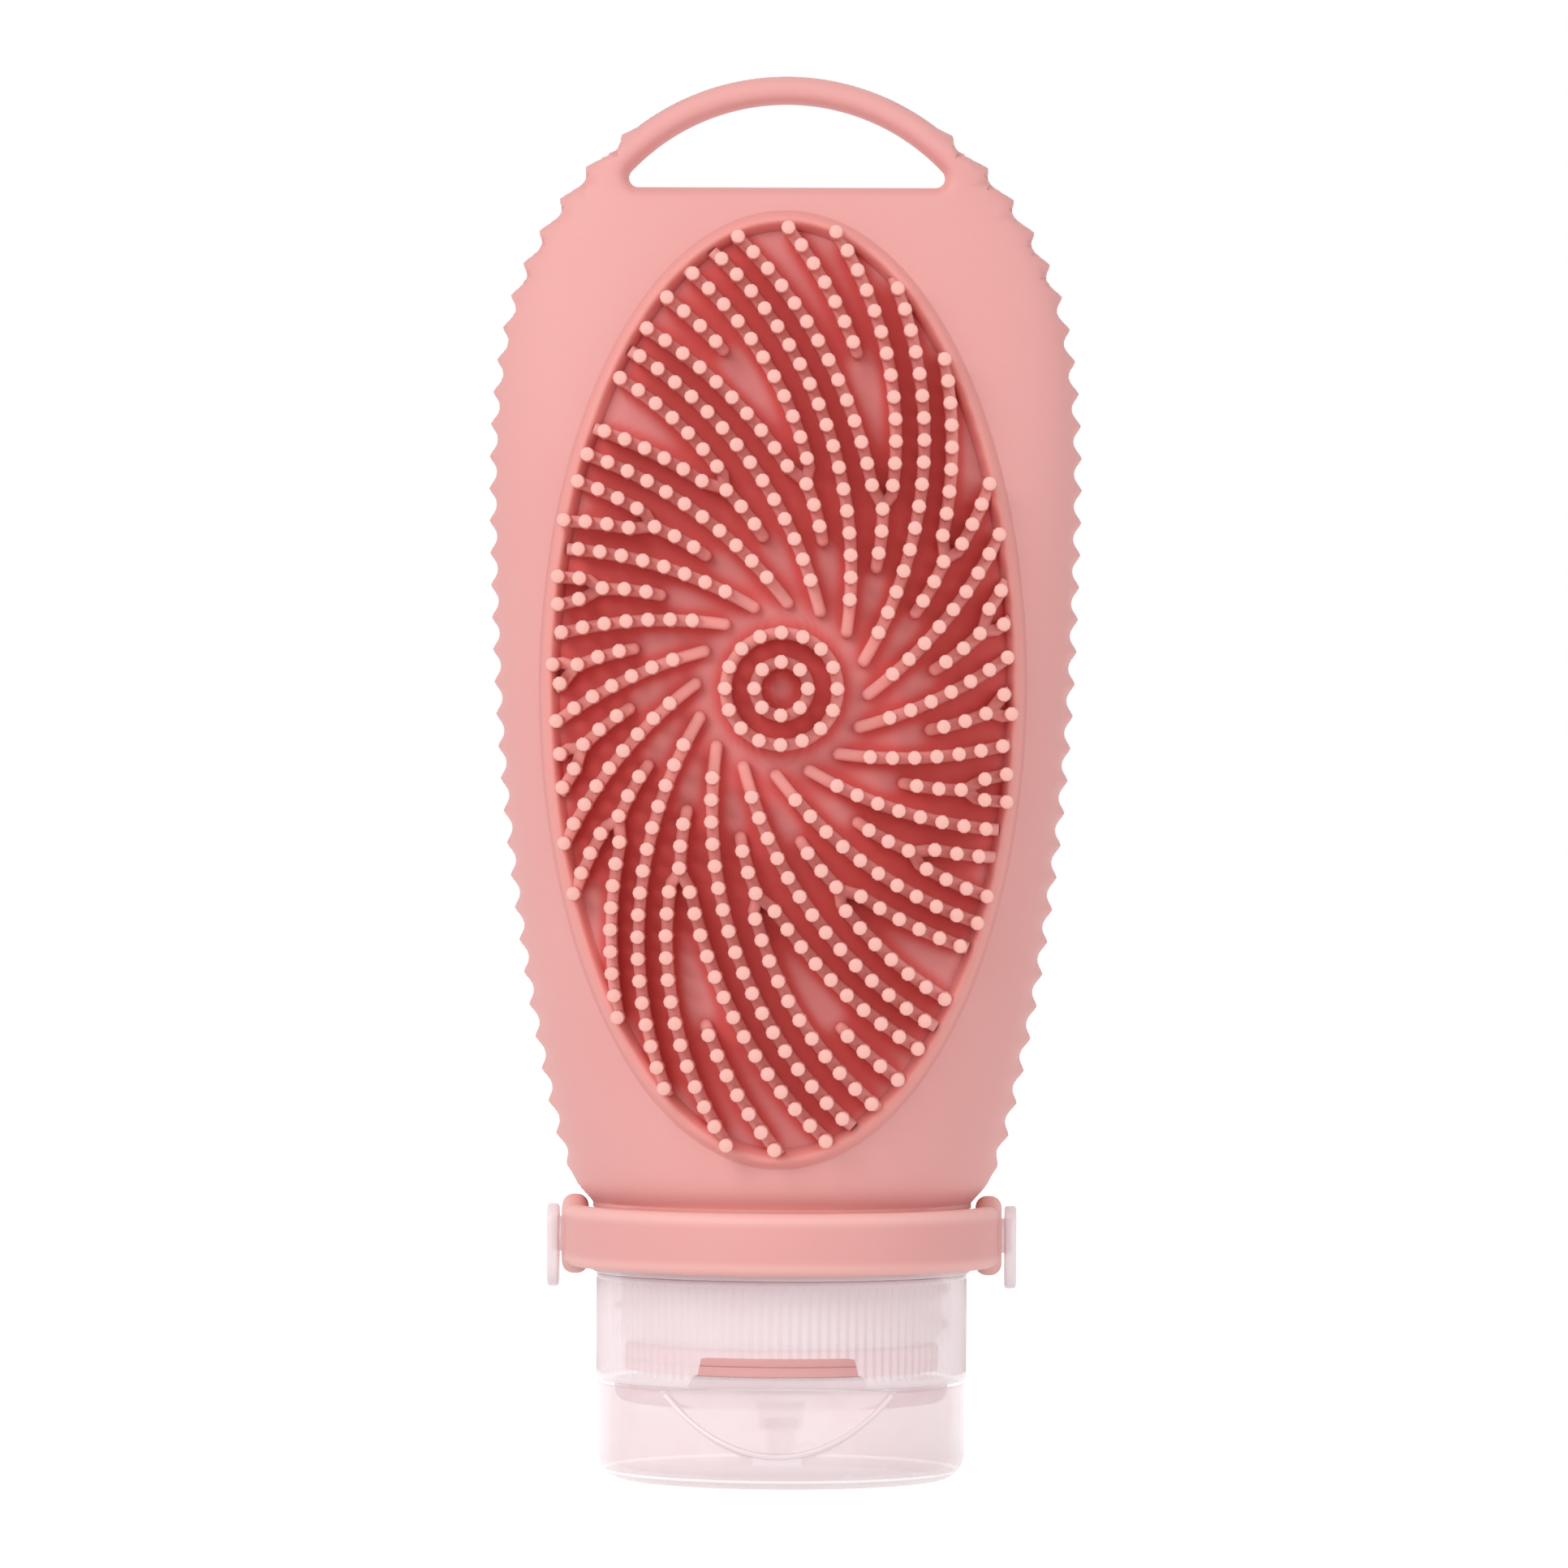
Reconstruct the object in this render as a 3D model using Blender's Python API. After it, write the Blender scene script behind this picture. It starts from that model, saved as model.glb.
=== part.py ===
"""Shower brush dispenser bottle: a squeeze bottle with a bristle pad, a strap and a flip-top screw cap.

Metres, +Z up. The bottle stands on the flat end of its lid, with the brush facing -Y and the hanging
loop on top. The Z axis is the axis of the neck, the cap and the lid.
"""

import math

import bmesh
import bpy
from mathutils import Vector
from mathutils.geometry import delaunay_2d_cdt

MM = 0.001

# Whole object
OVERALL_HEIGHT = 160.0 * MM
CLEARANCE = 0.3 * MM
MERGE_GAP = 0.003 * MM
OVERRUN = 5.0 * MM
FULL_TURN = 2.0 * math.pi
SHARP_ANGLE = math.radians(35)
ROUND_STEPS = 48
SMALL_ROUND_STEPS = 20
CORNER_STEPS = 5

# Flip lid
LID_STEP = 0.2 * MM
LID_HEIGHT = 11.0 * MM
LID_WALL = 1.35 * MM
LID_CORNER = 3.0 * MM
LID_SCOOP_DEPTH = 4.6 * MM
LID_SCOOP_FOOT = 3.9 * MM
PIN_RADIUS = 1.6 * MM
PIN_HEIGHT = 8.0 * MM

# Lid hinge, at the back of the seam between cap and lid
HINGE_REACH = 1.0 * MM
HINGE_WIDTH = 12.0 * MM
HINGE_HEIGHT = 2.0 * MM
HINGE_ROOT = 1.2 * MM

# Screw cap
CAP_RADIUS = 21.15 * MM
CAP_HEIGHT = 12.2 * MM
CAP_EDGE = 0.4 * MM
CAP_WALL = 1.8 * MM
SHOULDER = 0.9 * MM
PLATEAU_GAP = 0.8 * MM
PLATEAU_DEPTH = 2.45 * MM
PLATEAU_WALL = 1.6 * MM
PLATEAU_EDGE = 0.5 * MM
DECK = 1.5 * MM
SCOOP_GAP = 0.4 * MM
NOZZLE_LENGTH = 3.8 * MM
NOZZLE_ROOT_RADIUS = 2.8 * MM
NOZZLE_TIP_RADIUS = 2.5 * MM
WINDOW_HEIGHT = 3.6 * MM
WINDOW_LEDGE = 1.8 * MM
WINDOW_DEPTH = 2.7 * MM

# Seal washer, and the neck with the lip that closes on it
WASHER_THICKNESS = 0.9 * MM
NECK_WALL = 2.4 * MM
LIP_REACH = 2.5 * MM
LIP_THICKNESS = 1.7 * MM

# Neck collar, which carries the thread and the strap studs
THREAD_DEPTH = 1.15 * MM
THREAD_LEAD_IN = 0.6 * MM
COLLAR_STEP = 0.45 * MM
COLLAR_HEIGHT = 7.9 * MM
COLLAR_EDGE = 0.5 * MM

# Strap and its studs
STRAP_WIDTH = 7.0 * MM
STRAP_THICKNESS = 2.8 * MM
STRAP_EDGE = 0.5 * MM
STRAP_GAP = 0.6 * MM
STRAP_STEPS = 30
EYELET_RADIUS = 4.4 * MM
EYELET_PROUD = 0.1 * MM
STUD_SHANK_RADIUS = 2.0 * MM
STUD_HEAD_HEIGHT = 9.5 * MM
STUD_HEAD_WIDTH = 5.0 * MM
STUD_HEAD_THICKNESS = 1.4 * MM
STUD_HEAD_DROP = 1.3 * MM

# Bottle body. A station is a share of the body's height and a share of its greatest half-size.
BODY_HALF_WIDTH = 33.3 * MM
BODY_HALF_DEPTH = 22.6 * MM
WIDTH_STATION_SHARES = (
    (0.0, 0.650),
    (0.017, 0.706),
    (0.039, 0.741),
    (0.098, 0.799),
    (0.213, 0.883),
    (0.388, 0.964),
    (0.586, 1.000),
    (0.706, 0.994),
    (0.793, 0.942),
    (0.852, 0.852),
    (0.898, 0.739),
    (0.926, 0.643),
)
DEPTH_STATION_SHARES = (
    (0.0, 0.930),
    (0.017, 0.985),
    (0.039, 1.000),
    (0.102, 0.982),
    (0.219, 0.912),
    (0.375, 0.788),
    (0.531, 0.642),
    (0.688, 0.469),
    (0.805, 0.310),
    (0.898, 0.170),
    (0.955, 0.128),
    (1.0, 0.115),
)
# How square the section is along the height: 2 is an ellipse, more is a slab with round edges.
SQUARENESS_STATIONS = ((0.0, 2.0), (0.22, 2.1), (0.6, 2.35), (0.8, 2.7), (0.9, 3.3), (1.0, 4.0))
# Places around a quarter of the section, from the side edge to the middle of the face
QUARTER_SHARES = (0.0, 0.10, 0.22, 0.36, 0.52, 0.68, 0.84)
BODY_FOOT_SHARES = (0.0, 0.004, 0.017)
SHOULDER_SHARE = 0.955

# Waves along the side edges
WAVE_PITCH = 3.68 * MM
WAVE_HEIGHT = 0.85 * MM
WAVE_TOP_HEIGHT = 1.7 * MM
WAVE_START = 4.0 * MM
WAVE_GROWTH = 6
WAVE_REACH_SHARE = 0.38

# Hanging loop
LOOP_OUTER_SHARE = 0.8438
LOOP_INNER_SHARE = 0.7327
LOOP_BAND = 3.2 * MM
LOOP_HOLE_HEIGHT = 9.5 * MM
LOOP_HOLE_CORNER = 1.1 * MM
LOOP_CORNER_STEPS = 3
LOOP_ROW_SHARES = (0.84, 0.67, 0.5, 0.33, 0.17, 0.05)
LOOP_STEPS = 18

# Cavity
SIDE_WALL = 2.4 * MM
BACK_WALL = 2.4 * MM
FLOOR_WALL = 2.4 * MM
PAD_BACKING_WALL = 1.7 * MM
CAVITY_FOOT_RISE = 2.0 * MM
CAVITY_TOP_DROP = 21.0 * MM
CAVITY_ROWS = 9
CAVITY_FOOT_SHARE = 0.93
CAVITY_END_SHARES = ((0.55, 0.82), (0.9, 0.5))
CAVITY_END_HEIGHT = 4.0 * MM

# Bristle pad, set in the front face: shares of the body's half-width and height
PAD_HALF_WIDTH_SHARE = 0.820
PAD_HALF_HEIGHT_SHARE = 0.421
PAD_MIDDLE_SHARE = 0.4555
PATTERN_MIDDLE_SHARE = 0.452
PAD_THICKNESS = 1.2 * MM
PAD_FLOOR_DROP = 0.6 * MM
PAD_STEPS = 36
PAD_RING_SHARES = (0.3, 0.6, 0.82)
RIM_WIDTH = 1.9 * MM
RIM_PROUD = 1.2 * MM
FACE_STEP = 0.2 * MM
WIDEST_FACE_SHARE = 0.995

# Ribs and bristles on the pad. They stand along Y, the way the mould opens, and their heights are
# measured that way from the bottle's face.
RIB_WIDTH = 1.5 * MM
RIB_PROUD = 0.9 * MM
RIB_STEP = 6.0 * MM
RIB_END_INSET = 0.6 * MM
BRISTLE_PROUD = 5.0 * MM
BRISTLE_RADIUS = 0.75 * MM
BRISTLE_SIDES = 3
BRISTLE_PITCH = 3.3 * MM
BRISTLE_EDGE_INSET = 0.3 * MM

# Centre rings: radius and number of bristles
CENTRE_RINGS = ((6.3 * MM, 16), (3.0 * MM, 8))
CENTRE_RING_STEPS = 24

# Sixteen arms sweep out of the centre, each with a fork beside it and a short arm in the fork.
# An arm is an arc as seen from the front: start radius, start angle, turn away from the radius,
# bend radius and the run to its first bristle. The whole pattern bows up at its two ends.
ARM_COUNT = 16
MAIN_ARM = (9.7 * MM, -3.4, 40.5, 48.9 * MM, 3.6 * MM)
FORK_STEM = (17.3 * MM, 7.5, 24.8, 29.1 * MM, 1.55 * MM)
FORK_STEM_LENGTH = 7.2 * MM
LEFT_BRANCH = (25.1 * MM, 15.8, 21.0, 42.9 * MM, 0.95 * MM)
RIGHT_BRANCH = (24.9 * MM, 21.2, 35.3, 54.0 * MM, 0.1 * MM)
SHORT_ARM = (38.8 * MM, 32.8, 32.9, 53.3 * MM, 1.1 * MM)
LONGEST_ARM = 75.0 * MM
PATTERN_BOW = 0.5 * MM

# Finishes: colour, roughness, metallic and alpha
SILICONE = ("pink_silicone", (0.82, 0.39, 0.37), 0.55, 0.0, 1.0)
PAD_SILICONE = ("pad_silicone", (0.72, 0.22, 0.23), 0.5, 0.0, 1.0)
CLEAR_PLASTIC = ("clear_polypropylene", (0.88, 0.82, 0.86), 0.25, 0.0, 0.45)
COLLAR_PLASTIC = ("collar_polypropylene", (0.86, 0.76, 0.78), 0.35, 0.0, 0.7)

# Heights of the stack, from the flat end of the lid up
SEAM = LID_HEIGHT + CLEARANCE
LEDGE = SEAM + SHOULDER
WASHER_FOOT = LEDGE + CLEARANCE
LIP_FOOT = WASHER_FOOT + WASHER_THICKNESS + CLEARANCE
LIP_TOP = LIP_FOOT + LIP_THICKNESS
COLLAR_END = LIP_TOP + CLEARANCE
CAP_STEP = COLLAR_END + CLEARANCE
CAP_TOP = SEAM + CAP_HEIGHT
FLANGE_FOOT = CAP_TOP + CLEARANCE
FLANGE_TOP = FLANGE_FOOT + COLLAR_HEIGHT
BODY_FOOT = FLANGE_TOP + CLEARANCE
BODY_HEIGHT = OVERALL_HEIGHT - BODY_FOOT

# Sizes that follow from the ones above
LID_RADIUS = CAP_RADIUS - LID_STEP
THREAD_RADIUS = CAP_RADIUS - CAP_WALL - CLEARANCE
COLLAR_RADIUS = CAP_RADIUS + COLLAR_STEP
LIP_RADIUS = THREAD_RADIUS - THREAD_DEPTH
NECK_RADIUS = LIP_RADIUS - LIP_REACH
NECK_BORE_RADIUS = NECK_RADIUS - NECK_WALL
COLLAR_BORE_RADIUS = NECK_RADIUS + CLEARANCE
HINGE_AXIS_Y = CAP_RADIUS + HINGE_REACH
HINGE_AXIS_Z = (LID_HEIGHT + SEAM) / 2
STRAP_MIDDLE = (FLANGE_FOOT + FLANGE_TOP) / 2
STRAP_INNER_RADIUS = COLLAR_RADIUS + STRAP_GAP
STRAP_OUTER_RADIUS = STRAP_INNER_RADIUS + STRAP_THICKNESS
EYELET_OUTER = STRAP_OUTER_RADIUS + EYELET_PROUD
PAD_HALF_WIDTH = PAD_HALF_WIDTH_SHARE * BODY_HALF_WIDTH
PAD_HALF_HEIGHT = PAD_HALF_HEIGHT_SHARE * BODY_HEIGHT
PAD_MIDDLE = BODY_FOOT + PAD_MIDDLE_SHARE * BODY_HEIGHT
PATTERN_MIDDLE = BODY_FOOT + PATTERN_MIDDLE_SHARE * BODY_HEIGHT
PAD_FLOOR = -PAD_FLOOR_DROP
PAD_BACK = PAD_FLOOR - PAD_THICKNESS
SEAT_DEPTH = PAD_BACK - CLEARANCE
FRONT_WALL = PAD_BACKING_WALL - SEAT_DEPTH
SHOULDER_Z = BODY_FOOT + SHOULDER_SHARE * BODY_HEIGHT
LOOP_OUTER_RADIUS = LOOP_OUTER_SHARE * BODY_HALF_WIDTH
LOOP_INNER_RADIUS = LOOP_INNER_SHARE * BODY_HALF_WIDTH
LOOP_CENTRE_Z = OVERALL_HEIGHT - LOOP_OUTER_RADIUS
HOLE_TOP = OVERALL_HEIGHT - LOOP_BAND
HOLE_FOOT = HOLE_TOP - LOOP_HOLE_HEIGHT
CAVITY_FOOT = BODY_FOOT + FLOOR_WALL
CAVITY_TOP = OVERALL_HEIGHT - CAVITY_TOP_DROP


# Scene helpers


def clear_scene():
    for obj in list(bpy.data.objects):
        bpy.data.objects.remove(obj, do_unlink=True)


def finish_material(finish):
    name, colour, roughness, metallic, alpha = finish
    found = bpy.data.materials.get(name)
    if found:
        return found
    made = bpy.data.materials.new(name)
    made.use_nodes = True
    shader = made.node_tree.nodes["Principled BSDF"]
    shader.inputs["Base Color"].default_value = (*colour, 1.0)
    shader.inputs["Roughness"].default_value = roughness
    shader.inputs["Metallic"].default_value = metallic
    shader.inputs["Alpha"].default_value = alpha
    made.diffuse_color = (*colour, alpha)
    return made


def add_piece(name, bm, finish, axis_empty=None):
    """A named sub-part from a bmesh in world coordinates, under the empty on its joint's axis."""
    mesh = bpy.data.meshes.new(name)
    bm.to_mesh(mesh)
    bm.free()
    mesh.shade_smooth()
    mesh.set_sharp_from_angle(angle=SHARP_ANGLE)
    mesh.materials.append(finish_material(finish))
    obj = bpy.data.objects.new(name, mesh)
    bpy.context.scene.collection.objects.link(obj)
    if axis_empty:
        obj.parent = axis_empty
        obj.location = -axis_empty.location
    return obj


def add_cutter(name, bm):
    """A helper solid for a Boolean, left out of the render."""
    mesh = bpy.data.meshes.new(name)
    bm.to_mesh(mesh)
    bm.free()
    obj = bpy.data.objects.new(name, mesh)
    bpy.context.scene.collection.objects.link(obj)
    obj.hide_render = True
    obj.display_type = "WIRE"
    return obj


def add_axis(name, place):
    empty = bpy.data.objects.new(name, None)
    empty.empty_display_size = LID_RADIUS
    empty.location = place
    bpy.context.scene.collection.objects.link(empty)
    return empty


def combine(obj, operation, other, crossing=False):
    modifier = obj.modifiers.new(other.name, "BOOLEAN")
    modifier.operation = operation
    modifier.solver = "EXACT"
    modifier.use_self = crossing
    modifier.object = other


# Shape helpers


def loft(bm, rings, cap_first=True, cap_last=True):
    """Skins rings of points, in order. A ring of one point closes to that point."""
    rows = [[bm.verts.new(point) for point in ring] for ring in rings]
    for row, following in zip(rows, rows[1:]):
        count = max(len(row), len(following))
        for index in range(count):
            ahead = (index + 1) % count
            if len(row) == 1:
                bm.faces.new((row[0], following[ahead], following[index]))
            elif len(following) == 1:
                bm.faces.new((row[index], row[ahead], following[0]))
            else:
                bm.faces.new((row[index], row[ahead], following[ahead], following[index]))
    if cap_first and len(rows[0]) > 2:
        bm.faces.new(reversed(rows[0]))
    if cap_last and len(rows[-1]) > 2:
        bm.faces.new(rows[-1])


def lofted(rings):
    bm = bmesh.new()
    loft(bm, rings)
    bmesh.ops.recalc_face_normals(bm, faces=bm.faces)
    return bm


def turned(profile, steps=ROUND_STEPS):
    """A solid turned about the Z axis from a closed outline of (radius, height) points."""
    bm = bmesh.new()
    corners = [bm.verts.new((radius, 0.0, height)) for radius, height in profile]
    edges = [bm.edges.new((corner, ahead)) for corner, ahead in zip(corners, corners[1:])]
    if all(radius > 0.0 for radius, height in profile):
        edges.append(bm.edges.new((corners[-1], corners[0])))
    bmesh.ops.spin(
        bm,
        geom=corners + edges,
        cent=(0.0, 0.0, 0.0),
        axis=(0.0, 0.0, 1.0),
        angle=FULL_TURN,
        steps=steps,
        use_merge=True,
    )
    bmesh.ops.remove_doubles(bm, verts=bm.verts, dist=MERGE_GAP)
    bmesh.ops.recalc_face_normals(bm, faces=bm.faces)
    return bm


def extruded(outline, axis, start, end):
    """A prism from an outline of two coordinates, along X or Y, between two places."""
    bm = bmesh.new()
    if axis == "X":
        corners = [bm.verts.new((start, across, up)) for across, up in outline]
    else:
        corners = [bm.verts.new((across, start, up)) for across, up in outline]
    face = bm.faces.new(corners)
    pushed = bmesh.ops.extrude_face_region(bm, geom=[face])["geom"]
    moved = [item for item in pushed if isinstance(item, bmesh.types.BMVert)]
    shift = (end - start, 0.0, 0.0) if axis == "X" else (0.0, end - start, 0.0)
    bmesh.ops.translate(bm, verts=moved, vec=shift)
    bmesh.ops.recalc_face_normals(bm, faces=bm.faces)
    return bm


def rod(start_x, end_x, radius, middle_z, steps=SMALL_ROUND_STEPS):
    """A round rod along X, with its axis at y = 0."""
    outline = []
    for step in range(steps):
        angle = FULL_TURN * step / steps
        outline.append((radius * math.cos(angle), middle_z + radius * math.sin(angle)))
    return extruded(outline, "X", start_x, end_x)


def arc_points(centre, radius, start, end, steps):
    """Points on an arc, with both ends, by angles in degrees."""
    points = []
    for step in range(steps + 1):
        angle = math.radians(start + (end - start) * step / steps)
        points.append((centre[0] + radius * math.cos(angle), centre[1] + radius * math.sin(angle)))
    return points


def value_along(stations, place):
    """The value at a place on a smooth curve through (place, value) stations."""
    last = len(stations) - 1
    index = 0
    while index < last - 1 and place > stations[index + 1][0]:
        index += 1
    before = stations[max(index - 1, 0)]
    here = stations[index]
    ahead = stations[index + 1]
    after = stations[min(index + 2, last)]
    span = ahead[0] - here[0]
    share = min(max((place - here[0]) / span, 0.0), 1.0)
    slope_here = span * (ahead[1] - before[1]) / (ahead[0] - before[0])
    slope_ahead = span * (after[1] - here[1]) / (after[0] - here[0])
    square = share * share
    cube = square * share
    return (
        here[1] * (2 * cube - 3 * square + 1)
        + slope_here * (cube - 2 * square + share)
        + ahead[1] * (3 * square - 2 * cube)
        + slope_ahead * (cube - square)
    )


# Form of the bottle


def loop_half_width(z):
    """Half the width of the loop's outer arc at a height."""
    rise = z - LOOP_CENTRE_Z
    return math.sqrt(max(LOOP_OUTER_RADIUS**2 - rise**2, 0.0))


def body_half_width(z):
    if z >= SHOULDER_Z:
        return loop_half_width(z)
    shoulder = (SHOULDER_SHARE, loop_half_width(SHOULDER_Z) / BODY_HALF_WIDTH)
    stations = (*WIDTH_STATION_SHARES, shoulder)
    return BODY_HALF_WIDTH * value_along(stations, (z - BODY_FOOT) / BODY_HEIGHT)


def body_half_depth(z):
    return BODY_HALF_DEPTH * value_along(DEPTH_STATION_SHARES, (z - BODY_FOOT) / BODY_HEIGHT)


def body_squareness(z):
    return value_along(SQUARENESS_STATIONS, (z - BODY_FOOT) / BODY_HEIGHT)


def section_angles():
    """Angles round the whole section, closest together at the two side edges."""
    quarter = math.pi / 2
    angles = []
    for turn in range(4):
        shares = QUARTER_SHARES
        if turn % 2:
            shares = [0.0] + [1.0 - share for share in reversed(QUARTER_SHARES[1:])]
        angles += [quarter * (turn + share) for share in shares]
    return angles


def section(half_width, half_depth, squareness, z, middle_y=0.0, wave=0.0):
    """One level section. The wave widens it at the side edges only."""
    points = []
    for angle in section_angles():
        cosine = math.cos(angle)
        sine = math.sin(angle)
        across = math.copysign(abs(cosine) ** (2 / squareness), cosine)
        deep = math.copysign(abs(sine) ** (2 / squareness), sine)
        fade = max(0.0, 1.0 - abs(deep) / WAVE_REACH_SHARE)
        points.append(((half_width + wave * fade) * across, middle_y + half_depth * deep, z))
    return points


def body_section(z, wave=0.0):
    return section(body_half_width(z), body_half_depth(z), body_squareness(z), z, wave=wave)


def round_section(radius, z):
    return section(radius, radius, 2.0, z)


def wave_rows():
    """(height, sideways offset) of each crest and valley along the side edges."""
    first = BODY_FOOT + WAVE_START
    halves = 2 * int((SHOULDER_Z - first) / WAVE_PITCH)
    rows = []
    for half in range(halves + 1):
        z = first + half * WAVE_PITCH / 2
        share = ((z - BODY_FOOT) / BODY_HEIGHT) ** WAVE_GROWTH
        height = WAVE_HEIGHT + (WAVE_TOP_HEIGHT - WAVE_HEIGHT) * share
        rows.append((z, height / 2 if half % 2 == 0 else -height / 2))
    return rows


def cavity_section(z, share=1.0):
    half_depth = body_half_depth(z) - (FRONT_WALL + BACK_WALL) / 2
    middle_y = (FRONT_WALL - BACK_WALL) / 2
    half_width = body_half_width(z) - SIDE_WALL
    return section(half_width * share, half_depth * share, body_squareness(z), z, middle_y)


def body_rings():
    """From the top of the loop down the outside, round the lip, and up the inside of the cavity."""
    loop_rows = []
    widest = math.acos((SHOULDER_Z - LOOP_CENTRE_Z) / LOOP_OUTER_RADIUS)
    for share in LOOP_ROW_SHARES:
        loop_rows.append(LOOP_CENTRE_Z + LOOP_OUTER_RADIUS * math.cos(widest * share))
    outside = [body_section(z) for z in reversed(loop_rows)]
    outside += [body_section(z, wave) for z, wave in reversed(wave_rows())]
    outside += [body_section(BODY_FOOT + share * BODY_HEIGHT) for share in reversed(BODY_FOOT_SHARES)]
    neck = [
        round_section(NECK_RADIUS, BODY_FOOT),
        round_section(NECK_RADIUS, LIP_TOP),
        round_section(LIP_RADIUS, LIP_TOP),
        round_section(LIP_RADIUS, LIP_FOOT),
        round_section(NECK_BORE_RADIUS, LIP_FOOT),
        round_section(NECK_BORE_RADIUS, CAVITY_FOOT),
    ]
    inside = [[(x, y, CAVITY_FOOT) for x, y, z in cavity_section(CAVITY_FOOT, CAVITY_FOOT_SHARE)]]
    low = CAVITY_FOOT + CAVITY_FOOT_RISE
    high = CAVITY_TOP - CAVITY_END_HEIGHT
    for row in range(CAVITY_ROWS):
        inside.append(cavity_section(low + (high - low) * row / (CAVITY_ROWS - 1)))
    for rise, share in CAVITY_END_SHARES:
        inside.append(cavity_section(high + CAVITY_END_HEIGHT * rise, share))
    return outside + neck + inside


def loop_hole_outline():
    """The D-shaped hole: a flat foot and an arc over it."""
    centre_z = HOLE_TOP - LOOP_INNER_RADIUS
    half_angle = math.degrees(math.acos((HOLE_FOOT - centre_z) / LOOP_INNER_RADIUS))
    return arc_points((0.0, centre_z), LOOP_INNER_RADIUS, 90 - half_angle, 90 + half_angle, LOOP_STEPS)


def make_bottle_body():
    body = add_piece("bottle_body", lofted(body_rings()), SILICONE)
    hole = extruded(loop_hole_outline(), "Y", -OVERRUN, OVERRUN)
    foot = HOLE_FOOT + CLEARANCE
    corners = [
        edge
        for edge in hole.edges
        if max(vert.co.z for vert in edge.verts) < foot and edge.verts[0].co.y != edge.verts[1].co.y
    ]
    bmesh.ops.bevel(
        hole,
        geom=corners,
        offset=LOOP_HOLE_CORNER,
        offset_type="WIDTH",
        segments=LOOP_CORNER_STEPS,
        profile=0.5,
        affect="EDGES",
    )
    combine(body, "DIFFERENCE", add_cutter("loop_hole", hole))
    combine(body, "DIFFERENCE", add_cutter("pad_seat", pad_seat()))
    return body


# The bottle's front face, on which the pad lies


def face_point(x, z):
    half_width = body_half_width(z)
    squareness = body_squareness(z)
    share = min(abs(x) / half_width, WIDEST_FACE_SHARE)
    depth = body_half_depth(z) * (1 - share**squareness) ** (1 / squareness)
    return Vector((x, -depth, z))


def face_normal(x, z):
    across = face_point(x + FACE_STEP, z) - face_point(x - FACE_STEP, z)
    up = face_point(x, z + FACE_STEP) - face_point(x, z - FACE_STEP)
    return across.cross(up).normalized()


def lifted(x, z, height):
    """A point over the front face, at a height along its normal."""
    return face_point(x, z) + face_normal(x, z) * height


def raised(x, z, height):
    """A point over the front face, at a height straight towards the front."""
    return face_point(x, z) - Vector((0.0, height, 0.0))


def oval_ring(half_width, half_height, height):
    ring = []
    for step in range(PAD_STEPS):
        angle = FULL_TURN * step / PAD_STEPS
        x = half_width * math.cos(angle)
        z = PAD_MIDDLE + half_height * math.sin(angle)
        ring.append(lifted(x, z, height))
    return ring


def inset_ring(inset, height):
    return oval_ring(PAD_HALF_WIDTH - inset, PAD_HALF_HEIGHT - inset, height)


def share_rings(height):
    """Rings from near the middle outwards, all at one height over the face."""
    return [oval_ring(PAD_HALF_WIDTH * s, PAD_HALF_HEIGHT * s, height) for s in PAD_RING_SHARES]


def pad_seat():
    """The recess in the body: the pad's slice with a clearance round it, open to the front."""
    above = RIM_PROUD + CLEARANCE
    rings = [[lifted(0.0, PAD_MIDDLE, above)]]
    rings += share_rings(above)
    rings.append(inset_ring(-CLEARANCE, above))
    rings.append(inset_ring(-CLEARANCE, SEAT_DEPTH))
    rings += reversed(share_rings(SEAT_DEPTH))
    rings.append([lifted(0.0, PAD_MIDDLE, SEAT_DEPTH)])
    return lofted(rings)


# The sixteenfold pattern


def pad_place(x, z, inset):
    """Below 1 inside the pad's oval drawn in by an inset, above 1 outside it."""
    return math.hypot(x / (PAD_HALF_WIDTH - inset), (z - PAD_MIDDLE) / (PAD_HALF_HEIGHT - inset))


def arm_point(arm, turn, run):
    """The point at a run along an arm that is turned about the middle of the pad."""
    start_radius, start_angle, heading, bend, first = arm
    angle = turn + math.radians(start_angle)
    heading = angle + math.radians(heading)
    ahead = heading + run / bend
    x = start_radius * math.cos(angle) + bend * (math.sin(ahead) - math.sin(heading))
    z = start_radius * math.sin(angle) - bend * (math.cos(ahead) - math.cos(heading))
    return x, PATTERN_MIDDLE + z + PATTERN_BOW * (z / PAD_HALF_HEIGHT) ** 2


def arm_length(arm, turn, limit=LONGEST_ARM):
    """How far an arm runs before its rib meets the rim."""
    run = 0.0
    while run + BRISTLE_RADIUS < limit:
        if pad_place(*arm_point(arm, turn, run + BRISTLE_RADIUS), RIB_END_INSET) >= 1:
            break
        run += BRISTLE_RADIUS
    return run


def arm_bristles(arm, turn, length):
    """The places of an arm's bristles, inside the rim."""
    tips = []
    run = arm[4]
    while run <= length:
        x, z = arm_point(arm, turn, run)
        if pad_place(x, z, BRISTLE_EDGE_INSET) <= 1:
            tips.append((x, z))
        run += BRISTLE_PITCH
    return tips


def rib_outline(path):
    """The outline of a rib's top along a path, as seen from the front, with a pointed inner end."""
    left = []
    right = []
    for index, (x, z) in enumerate(path):
        before = Vector(path[max(index - 1, 0)])
        after = Vector(path[min(index + 1, len(path) - 1)])
        run = (after - before).normalized() * RIB_WIDTH / 2
        if index == 0:
            left.append((x - run.x, z - run.y))
        left.append((x - run.y, z + run.x))
        right.append((x + run.y, z - run.x))
    return left + right[::-1]


def rib_path(arm, turn, length):
    steps = max(1, round(length / RIB_STEP))
    return [arm_point(arm, turn, length * step / steps) for step in range(steps + 1)]


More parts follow.
